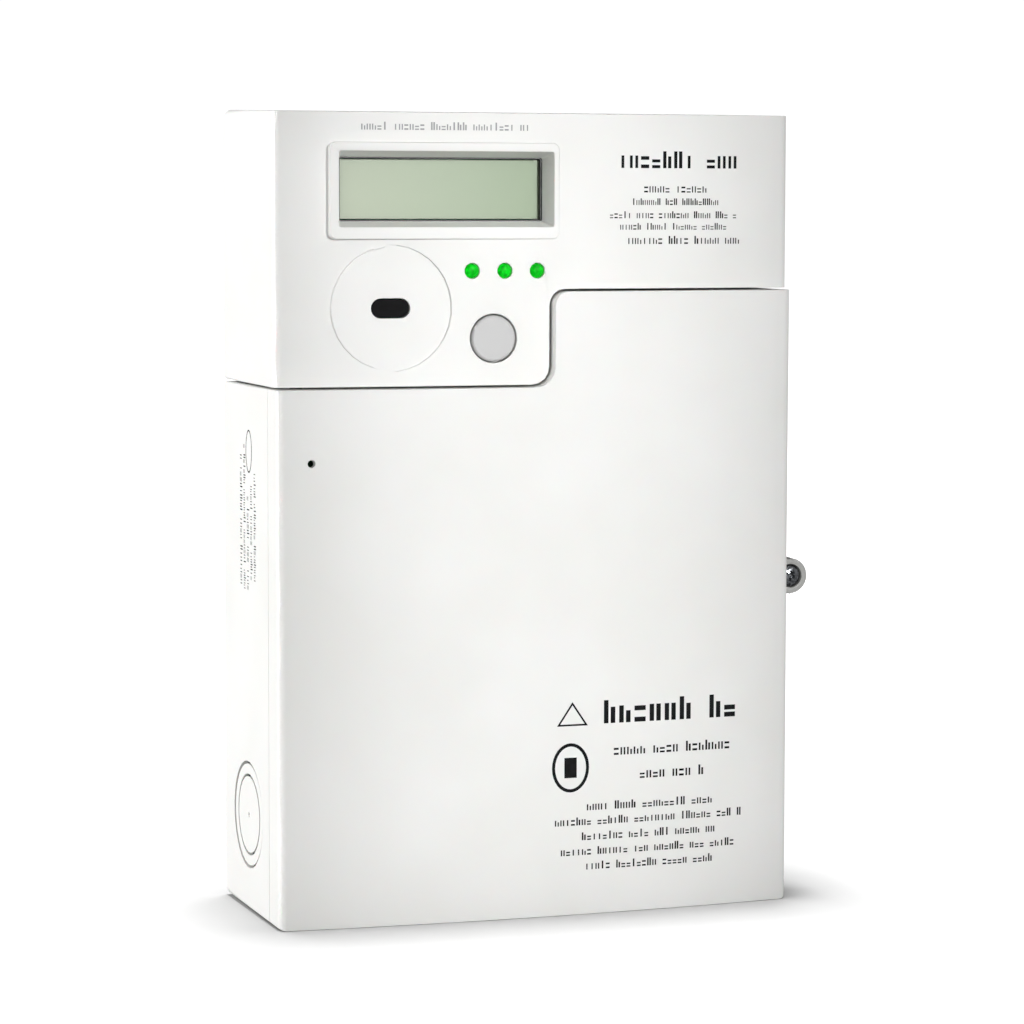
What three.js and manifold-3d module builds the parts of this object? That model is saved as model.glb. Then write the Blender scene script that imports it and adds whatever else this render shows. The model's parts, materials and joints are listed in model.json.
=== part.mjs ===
// Wall-mounted smart electric meter: a wall base with its terminals, a plug-in meter
// module with the display, and an L-shaped terminal cover held by one captive screw.
// Millimetres. +X right, +Y into the wall, +Z up. The origin is the centre of the wall face.
import * as THREE from "three";
import { mergeVertices } from "three/addons/utils/BufferGeometryUtils.js";
import Module from "manifold-3d";

const wasm = await Module();
wasm.setup();

// Overall sizes
const WIDTH = 147;
const HEIGHT = 220;
const EDGE_DEPTH = 55;
const BULGE = 3.2;
const SIDE_DRAFT = 0.6;
const TOP_DRAFT = 1.5;
const MODULE_STEP = 3.2;

// Shell sizes
const WALL = 2.4;
const COVER_WALL = 2.2;
const BACK_PLATE = 2.5;
const CORNER_RADIUS = 2.5;
const EDGE_RADIUS = 2.2;
const SEAM_RADIUS = 1;
const FIT = 0.3;
const CLEAR = 0.4;

// The seam between the module and the cover, stepped from a low run to a high run
const SEAM_GAP = 0.6;
const SEAM_LOW_FROM_TOP = 74.8;
const SEAM_HIGH_FROM_TOP = 49;
const SEAM_STEP_FROM_LEFT = 76.5;
const MODULE_CORNER = 5;
const COVER_CORNER = 3.7;
const LIP_FRONT = 45.2;
const RIM_GAP = 0.3;

// Display: a flat pad with a sloping pocket in it
const PAD = { from_left: 14.6, from_top: 9.5, width: 64.2, height: 25.7, radius: 1.8, proud: 0.2 };
const POCKET = { left: 2.4, right: 1.4, low: 3.2, high: 2.3, inset: 1.6, depth: 5.9 };
const BEZEL = { rim: 0.3, margin: 1.6, depth: 6 };
const WINDOW = { thickness: 0.8, set_back: 0.4 };
const LCD_SETBACK = 1.5;
const LCD_THICKNESS = 1.4;

// Optical port, indicator lamps and button
const PORT = { from_left: 31.6, from_top: 53.6, radius: 16.5, set_back: 0.1 };
const IRIS = { width: 10.3, height: 4.7, set_back: 0.3, thickness: 2.6 };
const STEEL_RING = { inner: 8, outer: 15, thickness: 1.4 };
const IR_SPACING = 5.4;
const IR_RADIUS = 1.5;
const LED = { from_left: 63.4, from_top: 43.7, pitch: 9.2, radius: 1.85 };
const BUTTON = { from_left: 60.2, from_top: 61.85, radius: 6.25, travel: 1.2, flange: 1.1 };

// Module interior
const BOARD_THICKNESS = 1.6;
const MAIN_BOARD_MARGIN = 4;
const REAR_COVER_BACK = 12;
const REAR_COVER_THICKNESS = 2;
const POST_RADIUS = 3.6;
const POST_INSET = 6;
const SMALL_SCREW = { head: 2.6, head_height: 1.5, shank: 1.2, length: 8 };
const LUG = { width: 12, drop: 9.5, back: 10, thickness: 6, from_side: 15.5 };
const LUG_SCREW = { head: 3.2, head_height: 2.2, shank: 1.9, reach: 5 };
const SOCKET = { width: 60, height: 12, depth: 8.2, from_top: 38, slot_width: 55, slot_height: 3.2 };
const BLADES = { count: 8, width: 4, thickness: 1.6, tip_gap: 2.5 };

const MAIN_ROW = { from_top: 22, capacitor_from_left: 81.5, battery_from_left: 42.5 };
const CHIP_ROW = { from_top: 44, processor_from_left: 49.5 };
const TRANSFORMER = { from_right: 35.5, width: 30, height: 24, depth: 16, coil_width: 20 };
const CAPACITOR = { radius: 6, length: 18 };
const VARISTOR = { radius: 7, thickness: 4 };
const BATTERY = { radius: 7.2, length: 26 };
const PROCESSOR = { side: 14, thickness: 1.6 };
const METERING = { side: 9, thickness: 1.6 };
const CRYSTAL = { width: 4, length: 10, depth: 3.2 };

// Base interior
const UPPER_PLATE = { from_side: 11.5, from_top: 10, radius: 4 };
const MOUNT_HOLE = { radius: 2, from_top: 18, from_bottom: 13, from_side: 18.5 };
const TERMINAL_BOARD = { from_side: 11.5, from_bottom: 44, below_seam: 17.2, stand_off: 5.5 };
const BLOCK = {
  pitch: 10,
  height: 16,
  depth: 16,
  chamfer: 3,
  wire_radius: 1.7,
  wire_share: 0.35,
  wire_reach: 4,
  well_radius: 2.7,
  well_depth: 3,
  screw_hole: 1.6,
  screw_reach: 4.5,
};
const BLOCK_SCREW = { head: 2.3, head_height: 2, shank: 1.2 };
const TACT = { side: 6, plunger_height: 1.4, plunger_radius: 1.7 };
const VOLTAGE_POLES = 3;
const VOLTAGE_BLOCK_X = -35;
const CT_POLES = 4;
const CT_BLOCK_X = 32;
const SWITCH = {
  width: 18,
  height: 9,
  depth: 7,
  below_edge: 14,
  x: 20,
  travel: 5,
  knob: 5,
  knob_height: 3.2,
};
const KNOCKOUT = {
  from_wall: 23.9,
  from_bottom: 26.7,
  radius: 14.8,
  centre: 11.3,
  groove: 0.75,
  recess: 0.25,
  thickness: 1.4,
  dimple: 0.8,
  dimple_depth: 0.4,
};

// Cover screw
const EAR = { out: 3.3, from_bottom: 90.4, radius: 4.95, thickness: 3.5, floor: 1.3, foot: 29 };
const SEAL_SCREW = { head: 3, head_height: 2, shank: 1.75, travel: 4.2, tip: 32.4 };
const EAR_BORE = 2.1;
const CLIP = { radius: 3, thickness: 0.8, groove_outer: 4, groove_inner: 1.2 };
const INSERT = { radius: 3, length: 7 };
const PIN_HOLE = { from_left: 9.1, below_seam: 19.8, radius: 1.02 };

const FAR = 90;
const ROUND = 12;
const HALF = WIDTH / 2;
const TOP = HEIGHT / 2;

// Places worked out from the sizes above
const seamLow = TOP - SEAM_LOW_FROM_TOP;
const seamHigh = TOP - SEAM_HIGH_FROM_TOP;
const seamStep = SEAM_STEP_FROM_LEFT - HALF;
const moduleEdge = EDGE_DEPTH - MODULE_STEP;
const moduleFront = (x) => frontAt(x, moduleEdge);
const fromCorner = (piece) => ({ x: piece.from_left - HALF, z: TOP - piece.from_top });
const padEdges = {
  left: PAD.from_left - HALF,
  right: PAD.from_left - HALF + PAD.width,
  low: TOP - PAD.from_top - PAD.height,
  high: TOP - PAD.from_top,
};
const padFace = moduleEdge + BULGE + PAD.proud;
const pocketFloor = padFace - POCKET.depth;
const inner = {
  left: padEdges.left + POCKET.left + POCKET.inset,
  right: padEdges.right - POCKET.right - POCKET.inset,
  low: padEdges.low + POCKET.low + POCKET.inset,
  high: padEdges.high - POCKET.high - POCKET.inset,
};
const port = fromCorner(PORT);
const portFace = moduleFront(port.x) - PORT.set_back;
const led = fromCorner(LED);
const ledPlaces = [-1, 0, 1].map((step) => led.x + step * LED.pitch);
const button = fromCorner(BUTTON);
const socketZ = TOP - SOCKET.from_top;
const ear = { x: HALF + EAR.out, z: EAR.from_bottom - TOP };
const earFace = LIP_FRONT + EAR.thickness;
const pin = { x: PIN_HOLE.from_left - HALF, z: seamLow - PIN_HOLE.below_seam };
const knockout = { y: -KNOCKOUT.from_wall, z: KNOCKOUT.from_bottom - TOP };
const mountHoles = [
  { x: 0, z: TOP - MOUNT_HOLE.from_top },
  { x: MOUNT_HOLE.from_side - HALF, z: MOUNT_HOLE.from_bottom - TOP },
  { x: HALF - MOUNT_HOLE.from_side, z: MOUNT_HOLE.from_bottom - TOP },
];
const lugs = [
  { name: "left", side: -1, ceiling: seamLow + SEAM_GAP / 2 },
  { name: "right", side: 1, ceiling: seamHigh + SEAM_GAP / 2 },
].map((lug) => ({ ...lug, x: lug.side * (HALF - LUG.from_side), z: lug.ceiling - LUG.drop / 2 }));

const meter = new THREE.Group();
const baseGroup = new THREE.Group();
const moduleGroup = new THREE.Group();
const coverGroup = new THREE.Group();
meter.add(baseGroup, moduleGroup, coverGroup);

// ---------------------------------------------------------------- outlines

// A closed outline from corners [x, y, radius], each rounded by an arc of the given steps.
function rounded(corners, steps = 4) {
  const points = [];
  corners.forEach(([x, y, radius], index) => {
    const corner = new THREE.Vector2(x, y);
    if (radius <= 0) {
      points.push(corner);
      return;
    }
    const before = corners[(index + corners.length - 1) % corners.length];
    const after = corners[(index + 1) % corners.length];
    const toBefore = new THREE.Vector2(before[0] - x, before[1] - y).normalize();
    const toAfter = new THREE.Vector2(after[0] - x, after[1] - y).normalize();
    const halfAngle = Math.acos(THREE.MathUtils.clamp(toBefore.dot(toAfter), -1, 1)) / 2;
    const reach = radius / Math.tan(halfAngle);
    const inward = toBefore.clone().add(toAfter).normalize();
    const centre = corner.clone().addScaledVector(inward, radius / Math.sin(halfAngle));
    const start = corner.clone().addScaledVector(toBefore, reach).sub(centre).angle();
    const end = corner.clone().addScaledVector(toAfter, reach).sub(centre).angle();
    const sweep = THREE.MathUtils.euclideanModulo(end - start + Math.PI, 2 * Math.PI) - Math.PI;
    for (let step = 0; step <= steps; step += 1) {
      const angle = start + (sweep * step) / steps;
      points.push(new THREE.Vector2(Math.cos(angle), Math.sin(angle)).multiplyScalar(radius).add(centre));
    }
  });
  return points;
}

function rectangle(left, low, right, high, radius = 0) {
  return rounded([
    [left, low, radius],
    [right, low, radius],
    [right, high, radius],
    [left, high, radius],
  ]);
}

function centredRectangle(x, y, width, height, radius = 0) {
  return rectangle(x - width / 2, y - height / 2, x + width / 2, y + height / 2, radius);
}

function circle(x, y, radius, steps = ROUND) {
  const points = [];
  for (let step = 0; step < steps; step += 1) {
    const angle = (2 * Math.PI * (step + 0.5)) / steps;
    points.push(new THREE.Vector2(x + radius * Math.cos(angle), y + radius * Math.sin(angle)));
  }
  return points;
}

// ---------------------------------------------------------------- solids

function solid(geometry) {
  geometry.deleteAttribute("normal");
  geometry.deleteAttribute("uv");
  const merged = mergeVertices(geometry, 1e-4);
  const vertProperties = new Float32Array(merged.getAttribute("position").array);
  const triVerts = new Uint32Array(merged.getIndex().array);
  return new wasm.Manifold(new wasm.Mesh({ numProp: 3, vertProperties, triVerts }));
}

function extrusion(points, length) {
  return new THREE.ExtrudeGeometry(new THREE.Shape(points), { depth: length, bevelEnabled: false });
}

// An (x, y) outline from one height to another.
function alongZ(points, low, high) {
  return solid(extrusion(points, high - low).translate(0, 0, low));
}

// An (x, z) outline from its back to its front, both given as depths in front of the wall.
function alongY(points, back, front) {
  return solid(extrusion(points, front - back).rotateX(Math.PI / 2).translate(0, -back, 0));
}

// A (y, z) outline from its left to its right.
function alongX(points, left, right) {
  const turn = new THREE.Matrix4().makeBasis(
    new THREE.Vector3(0, 1, 0),
    new THREE.Vector3(0, 0, 1),
    new THREE.Vector3(1, 0, 0),
  );
  return solid(extrusion(points, right - left).applyMatrix4(turn).translate(left, 0, 0));
}

// A turned solid on an axis along Y through (x, z); its profile is [radius, depth], front to back.
function turned(profile, x, z, steps = ROUND) {
  const points = profile.map(([radius, depth]) => new THREE.Vector2(radius, -depth));
  return solid(new THREE.LatheGeometry(points, steps).translate(x, 0, z));
}

function disc(x, z, radius, back, front, steps = ROUND) {
  return alongY(circle(x, z, radius, steps), back, front);
}

function cut(body, ...tools) {
  return tools.reduce((left, tool) => left.subtract(tool), body);
}

function join(body, ...others) {
  return others.reduce((sum, other) => sum.add(other), body);
}

function place(group, name, finish, body) {
  const result = body.getMesh();
  const geometry = new THREE.BufferGeometry();
  geometry.setAttribute("position", new THREE.BufferAttribute(result.vertProperties, 3));
  geometry.setIndex(new THREE.BufferAttribute(result.triVerts, 1));
  geometry.computeVertexNormals();
  const mesh = new THREE.Mesh(geometry, new THREE.MeshStandardMaterial(finish));
  mesh.name = name;
  group.add(mesh);
}

// ---------------------------------------------------------------- finishes

const FINISH = {
  shell: { color: 0xf1f1ef, roughness: 0.42, metalness: 0 },
  grey: { color: 0xd2d2d2, roughness: 0.5, metalness: 0 },
  black: { color: 0x1c1c1d, roughness: 0.45, metalness: 0 },
  clear: { color: 0xe8eee8, roughness: 0.05, metalness: 0, transparent: true, opacity: 0.3 },
  lcd: { color: 0xb8c6b0, roughness: 0.2, metalness: 0 },
  diffuser: { color: 0xe6ecd8, roughness: 0.6, metalness: 0 },
  iris: { color: 0x202022, roughness: 0.15, metalness: 0 },
  green: { color: 0x0cbf20, roughness: 0.2, metalness: 0 },
  red: { color: 0xb02018, roughness: 0.4, metalness: 0 },
  board: { color: 0x1f6b3a, roughness: 0.5, metalness: 0 },
  steel: { color: 0xb9bcc0, roughness: 0.3, metalness: 1 },
  brass: { color: 0xc8a04c, roughness: 0.35, metalness: 1 },
  terminal: { color: 0x3c6f4a, roughness: 0.5, metalness: 0 },
  blue: { color: 0x27509c, roughness: 0.45, metalness: 0 },
  varnish: { color: 0xc9962c, roughness: 0.4, metalness: 0 },
};

// ---------------------------------------------------------------- the shared form

function sideAt(depth, inset) {
  return HALF + SIDE_DRAFT * (1 - depth / EDGE_DEPTH) - inset;
}

function frontAt(x, edgeDepth) {
  return edgeDepth + BULGE * (1 - (x / HALF) ** 2);
}

// The barrel-fronted block, drafted at the sides, from a back depth to its curved front.
function barrel(inset, edgeDepth, back) {
  const corners = [[-sideAt(back, inset), -back, 0]];
  const segments = 12;
  for (let step = 0; step <= segments; step += 1) {
    const x = (HALF - inset) * ((2 * step) / segments - 1);
    const radius = step % segments === 0 ? EDGE_RADIUS : 0;
    corners.push([x, inset - frontAt(x, edgeDepth), radius]);
  }
  corners.push([sideAt(back, inset), -back, 0]);
  return alongZ(rounded(corners, 5), -TOP - 1, TOP + 1);
}

function topWedge(inset) {
  const slope = TOP_DRAFT / EDGE_DEPTH;
  const high = TOP - inset;
  const corners = [
    [FAR, high + slope * FAR, 0],
    [-FAR, high - slope * FAR, 0],
    [-FAR, FAR * 2, 0],
    [FAR, FAR * 2, 0],
  ];
  return alongX(rounded(corners), -FAR, FAR);
}

function moduleOutline(inset) {
  const side = HALF + SIDE_DRAFT - inset;
  const low = seamLow + SEAM_GAP / 2 + inset;
  const high = seamHigh + SEAM_GAP / 2 + inset;
  const step = seamStep - SEAM_GAP / 2 - inset;
  const corner = Math.max(CORNER_RADIUS - inset, 0.5);
  return rounded([
    [-side, TOP - inset, corner],
    [side, TOP - inset, corner],
    [side, high, SEAM_RADIUS],
    [step, high, COVER_CORNER + SEAM_GAP + inset],
    [step, low, MODULE_CORNER - inset],
    [-side, low, SEAM_RADIUS],
  ]);
}

function coverOutline(inset) {
  const side = HALF + SIDE_DRAFT - inset;
  const low = seamLow - SEAM_GAP / 2 - inset;
  const high = seamHigh - SEAM_GAP / 2 - inset;
  const step = seamStep + SEAM_GAP / 2 + inset;
  const corner = Math.max(CORNER_RADIUS - inset, 0.5);
  return rounded([
    [-side, low, SEAM_RADIUS],
    [step, low, MODULE_CORNER + SEAM_GAP + inset],
    [step, high, COVER_CORNER - inset],
    [side, high, SEAM_RADIUS],
    [side, inset - TOP, corner],
    [-side, inset - TOP, corner],
  ]);
}

// ---------------------------------------------------------------- wall base

const rimDepth = LIP_FRONT - RIM_GAP;
const plateSide = HALF - UPPER_PLATE.from_side;
const plateTop = TOP - UPPER_PLATE.from_top;
const upperPlate = rectangle(-plateSide, seamLow - 10, plateSide, plateTop, UPPER_PLATE.radius);
const boardSide = HALF - TERMINAL_BOARD.from_side;
const boardLow = TERMINAL_BOARD.from_bottom - TOP;
const boardHigh = seamLow - TERMINAL_BOARD.below_seam;
const blockZ = boardLow + BLOCK.height / 2;
const switchZ = boardHigh - SWITCH.below_edge;
const boardBack = BACK_PLATE + TERMINAL_BOARD.stand_off + FIT;
const boardFront = boardBack + BOARD_THICKNESS;
const boardScrews = [-1, 1].flatMap((side) => [
  { x: side * (boardSide - 5), z: boardLow + 5 },
  { x: side * (boardSide - 5), z: boardHigh - 5 },
]);
const insertFront = rimDepth - (SEAL_SCREW.travel + CLIP.thickness + 1.2);

function buildBase() {
  const rimCut = alongY(rectangle(-FAR, -2 * FAR, FAR, 2 * FAR), rimDepth, FAR);
  const outer = cut(barrel(0, EDGE_DEPTH, 0).intersect(alongY(coverOutline(0), -1, FAR)), rimCut);
  const side = HALF + SIDE_DRAFT - WALL;
  const hollow = alongY(rectangle(-side, WALL - TOP, side, TOP, 1), BACK_PLATE, FAR);
  const hollowSides = barrel(WALL, EDGE_DEPTH, 0);
  const shell = cut(outer, hollow.intersect(hollowSides));
  const earBoss = disc(ear.x, ear.z, EAR.radius, EAR.foot, rimDepth, 24);
  const earRoot = alongY(
    rectangle(HALF - WALL / 2, ear.z - EAR.radius, ear.x, ear.z + EAR.radius),
    EAR.foot,
    rimDepth,
  );
  const posts = boardScrews.map(({ x, z }) => disc(x, z, 3.4, BACK_PLATE / 2, boardBack - FIT, 12));
  const bosses = lugs.map(({ x, z }) => disc(x, z, 4, BACK_PLATE / 2, LUG.back - FIT));
  const solidBase = join(shell, alongY(upperPlate, 0, BACK_PLATE), earBoss, earRoot, ...posts, ...bosses);
  const holes = [
    ...mountHoles.map(({ x, z }) => disc(x, z, MOUNT_HOLE.radius, -1, BACK_PLATE + 1)),
    disc(ear.x, ear.z, CLIP.radius + CLEAR, insertFront, FAR),
    disc(ear.x, ear.z, INSERT.radius + FIT, insertFront - INSERT.length - FIT, FAR),
    alongX(circle(knockout.y, knockout.z, KNOCKOUT.radius, 32), -FAR, -HALF + WALL + 1),
    ...boardScrews.map(({ x, z }) => disc(x, z, SMALL_SCREW.shank + FIT, BACK_PLATE, FAR, 12)),
    ...lugs.map(({ x, z }) => disc(x, z, LUG_SCREW.shank + FIT, BACK_PLATE, FAR)),
  ];
  place(baseGroup, "base_housing", FINISH.shell, cut(solidBase, ...holes));

  const skinBack = barrel(KNOCKOUT.recess + KNOCKOUT.thickness, EDGE_DEPTH, -1);
  const skin = cut(barrel(KNOCKOUT.recess, EDGE_DEPTH, 0), skinBack);
  const opening = (radius) => alongX(circle(knockout.y, knockout.z, radius, 32), -FAR, 0);
  const ringOuter = opening(KNOCKOUT.radius - KNOCKOUT.groove);
  const dimpleFloor = -HALF + KNOCKOUT.recess + KNOCKOUT.dimple_depth;
  const dimple = alongX(circle(knockout.y, knockout.z, KNOCKOUT.dimple, 8), -FAR, dimpleFloor);
  const ring = cut(ringOuter, opening(KNOCKOUT.centre));
  place(baseGroup, "knockout_ring", FINISH.shell, ring.intersect(skin));
  const plug = cut(opening(KNOCKOUT.centre - KNOCKOUT.groove).intersect(skin), dimple);
  place(baseGroup, "knockout_plug", FINISH.shell, plug);

  const insert = disc(ear.x, ear.z, INSERT.radius, insertFront - INSERT.length, insertFront, 12);
  const thread = disc(ear.x, ear.z, SEAL_SCREW.shank + FIT, 0, FAR);
  place(baseGroup, "screw_insert", FINISH.brass, cut(insert, thread));
}

// A slotted or crossed screw whose head starts at a depth and whose shank runs towards the wall.
function screw(x, z, size, headBack, length, crossed) {
  const front = headBack + size.head_height;
  const body = turned(
    [
      [0, front],
      [size.head * 0.72, front],
      [size.head, front - size.head_height * 0.4],
      [size.head, headBack],
      [size.shank, headBack],
      [size.shank, headBack - length],
      [0, headBack - length],
    ],
    x,
    z,
  );
  const slotDepth = size.head_height * 0.55;
  const slot = (width, height) => {
    const mouth = centredRectangle(x, z, width, height);
    return alongY(mouth, front - slotDepth, front + 1);
  };
  const span = size.head * 1.15;
  const thickness = size.head * 0.28;
  if (!crossed) {
    return cut(body, slot(span * 2, thickness));
  }
  return cut(body, slot(span, thickness), slot(thickness, span));
}

function buildTerminalBoard() {
  const outline = rectangle(-boardSide, boardLow, boardSide, boardHigh, 2);
  const holes = boardScrews.map(({ x, z }) => disc(x, z, SMALL_SCREW.shank + CLEAR, 0, FAR, 12));
  place(baseGroup, "terminal_board", FINISH.board, cut(alongY(outline, boardBack, boardFront), ...holes));
  boardScrews.forEach(({ x, z }, index) => {
    const body = screw(x, z, SMALL_SCREW, boardFront + FIT, SMALL_SCREW.length - 1, true);
    place(baseGroup, `board_screw_${index + 1}`, FINISH.steel, body);
  });
}

function buildTerminalBlock(name, x, poles, finish) {
  const back = boardFront + FIT;
  const front = back + BLOCK.depth;
  const width = poles * BLOCK.pitch;
  const bottom = blockZ - BLOCK.height / 2;
  const wells = [];
  for (let pole = 0; pole < poles; pole += 1) {
    const poleX = x + (pole - (poles - 1) / 2) * BLOCK.pitch;
    const screwBack = front - BLOCK.well_depth + FIT;
    wells.push(disc(poleX, blockZ, BLOCK.well_radius, front - BLOCK.well_depth, front + 1));
    wells.push(disc(poleX, blockZ, BLOCK.screw_hole, screwBack - BLOCK.screw_reach - 1, front));
    const wireY = -(back + BLOCK.depth * BLOCK.wire_share);
    const wireHole = circle(poleX, wireY, BLOCK.wire_radius);
    wells.push(alongZ(wireHole, bottom - 1, blockZ + BLOCK.wire_reach));
    const poleScrew = screw(poleX, blockZ, BLOCK_SCREW, screwBack, BLOCK.screw_reach, false);
    place(baseGroup, `${name}_screw_${pole + 1}`, FINISH.steel, poleScrew);
  }
  const profile = rounded([
    [-back, bottom, 0],
    [-front, bottom, 0],
    [-front, bottom + BLOCK.height - BLOCK.chamfer, 0],
    [BLOCK.chamfer - front, bottom + BLOCK.height, 0],
    [-back, bottom + BLOCK.height, 0],
  ]);
  const body = alongX(profile, x - width / 2, x + width / 2);
  place(baseGroup, `${name}_terminal_block`, finish, cut(body, ...wells));
}

// A two-position slide switch that shorts one transformer input; its knob travels along X.
function buildShortingSwitch(label, x) {
  const back = boardFront + FIT;
  const front = back + SWITCH.depth;
  const slotWidth = SWITCH.travel + SWITCH.knob + 2 * CLEAR;
  const slotHeight = SWITCH.knob_height + 2 * CLEAR;
  const body = alongY(centredRectangle(x, switchZ, SWITCH.width, SWITCH.height, 0.6), back, front);
  const slot = alongY(centredRectangle(x, switchZ, slotWidth, slotHeight), back + 2, front + 1);
  place(baseGroup, `ct_switch_body_${label}`, FINISH.black, cut(body, slot));
  const knobX = x - SWITCH.travel / 2;
  const knob = alongY(
    centredRectangle(knobX, switchZ, SWITCH.knob, SWITCH.knob_height, 0.4),
    back + 2 + FIT,
    front + 3,
  );
  place(baseGroup, `ct_switch_knob_${label}`, FINISH.red, knob);
}

function buildSocket() {
  const back = BACK_PLATE + FIT;
  const outline = centredRectangle(0, socketZ, SOCKET.width, SOCKET.height, 1);
  const body = alongY(outline, back, back + SOCKET.depth);
  const slot = alongY(
    centredRectangle(0, socketZ, SOCKET.slot_width, SOCKET.slot_height),
    back + 1,
    back + SOCKET.depth + 1,
  );
  place(baseGroup, "module_socket", FINISH.black, cut(body, slot));
}

// ---------------------------------------------------------------- meter module

const bezelFront = pocketFloor - FIT;
const bezelBack = bezelFront - BEZEL.depth;
const windowFront = bezelFront - WINDOW.set_back;
const lcdFront = bezelFront - LCD_SETBACK;
const mainBoardFront = bezelBack - FIT;
const mainBoardBack = mainBoardFront - BOARD_THICKNESS;
const rearCoverFront = REAR_COVER_BACK + REAR_COVER_THICKNESS;
const rearPosts = [
  { x: POST_INSET - HALF, z: TOP - POST_INSET },
  { x: HALF - POST_INSET, z: TOP - POST_INSET },
  { x: POST_INSET - HALF, z: seamLow + POST_INSET },
  { x: HALF - POST_INSET, z: seamHigh + POST_INSET },
];

function displayRectangle(grow, radius = 0.6) {
  return rectangle(inner.left - grow, inner.low - grow, inner.right + grow, inner.high + grow, radius);
}

// The sloping pocket in front of the display, as one frustum from the pad face to its floor.
function displayPocket() {
  const depth = padFace - pocketFloor;
  const middleX = (inner.left + inner.right) / 2;
  const middleZ = (inner.low + inner.high) / 2;
  const geometry = extrusion(displayRectangle(0), depth + 0.2).rotateX(Math.PI / 2);
  geometry.translate(0, 0.1, 0);
  const position = geometry.getAttribute("position");
  const halfWidth = (inner.right - inner.left) / 2;
  const halfHeight = (inner.high - inner.low) / 2;
  for (let index = 0; index < position.count; index += 1) {
    const grow = (POCKET.inset * -position.getY(index)) / depth;
    const x = middleX + (position.getX(index) - middleX) * (1 + grow / halfWidth);
    const z = middleZ + (position.getZ(index) - middleZ) * (1 + grow / halfHeight);
    position.setXYZ(index, x, position.getY(index) - pocketFloor, z);
  }
  return solid(geometry);
}

function buildModuleCase() {
  const outer = cut(barrel(0, moduleEdge, 0.5).intersect(alongY(moduleOutline(0), 0, FAR)), topWedge(0));
  const inner = barrel(WALL, moduleEdge, -1).intersect(alongY(moduleOutline(WALL), -1, FAR));
  const hollow = cut(inner, topWedge(WALL));
  const padShape = rectangle(padEdges.left, padEdges.low, padEdges.right, padEdges.high, PAD.radius);
  const pad = alongY(padShape, pocketFloor, padFace);
  const portDisc = disc(port.x, port.z, PORT.radius, portFace - WALL, portFace, 32);
  const portRecess = disc(port.x, port.z, PORT.radius + CLEAR, portFace, FAR, 32);
  const lugTabs = lugs.map((lug) =>
    alongY(
      rounded([
        [lug.x - LUG.width / 2, lug.ceiling + WALL / 2, 0],
        [lug.x + LUG.width / 2, lug.ceiling + WALL / 2, 0],
        [lug.x + LUG.width / 2, lug.ceiling - LUG.drop, 3],
        [lug.x - LUG.width / 2, lug.ceiling - LUG.drop, 3],
      ]),
      LUG.back,
      LUG.back + LUG.thickness,
    ),
  );
  const postBack = rearCoverFront + FIT;
  const posts = rearPosts.map(({ x, z }) => disc(x, z, POST_RADIUS, postBack, moduleEdge - 1));
  const reliefSide = plateSide + CLEAR;
  const plateRelief = rectangle(-reliefSide, 0, reliefSide, plateTop + CLEAR, UPPER_PLATE.radius);
  const openings = [
    displayPocket(),
    alongY(displayRectangle(0), pocketFloor - WALL, pocketFloor),
    alongY(plateRelief, -1, BACK_PLATE + CLEAR),
    alongY(rounded(stadiumCorners(FIT), 5), 0, FAR),
    disc(button.x, button.z, BUTTON.radius + CLEAR, moduleEdge - WALL, FAR, 32),
    ...ledPlaces.map((x) => disc(x, led.z, LED.radius + FIT, moduleEdge - WALL, FAR)),
    ...lugs.map(({ x, z }) => disc(x, z, LUG_SCREW.shank + CLEAR, 0, LUG.back + LUG.thickness + 1)),
    ...rearPosts.map(({ x, z }) => {
      return disc(x, z, SMALL_SCREW.shank + FIT, 0, rearCoverFront + SMALL_SCREW.length);
    }),
  ];
  const padCore = pad.subtract(alongY(displayRectangle(2 * POCKET.inset), 0, pocketFloor));
  const body = join(cut(cut(outer, hollow), portRecess), padCore, portDisc, ...lugTabs, ...posts);
  place(moduleGroup, "module_case", FINISH.shell, cut(body, ...openings));
}

function stadiumCorners(grow) {
  const halfWidth = IRIS.width / 2 + grow;
  const halfHeight = IRIS.height / 2 + grow;
  const radius = halfHeight - 0.01;
  return [
    [port.x - halfWidth, port.z - halfHeight, radius],
    [port.x + halfWidth, port.z - halfHeight, radius],
    [port.x + halfWidth, port.z + halfHeight, radius],
    [port.x - halfWidth, port.z + halfHeight, radius],
  ];
}

function buildDisplay() {
  const frame = alongY(displayRectangle(BEZEL.margin), bezelBack, bezelFront);
  const bezelHole = alongY(displayRectangle(-BEZEL.rim, 0), 0, FAR);
  place(moduleGroup, "lcd_bezel", FINISH.black, cut(frame, bezelHole));
  const inside = displayRectangle(-BEZEL.rim - FIT, 0);
  const pane = alongY(inside, windowFront - WINDOW.thickness, windowFront);
  place(moduleGroup, "display_window", FINISH.clear, pane);
  place(moduleGroup, "lcd_panel", FINISH.lcd, alongY(inside, lcdFront - LCD_THICKNESS, lcdFront));
  const lightFront = lcdFront - LCD_THICKNESS - FIT;
  const light = alongY(inside, bezelBack, lightFront);
  place(moduleGroup, "lcd_backlight", FINISH.diffuser, light);
}

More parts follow.
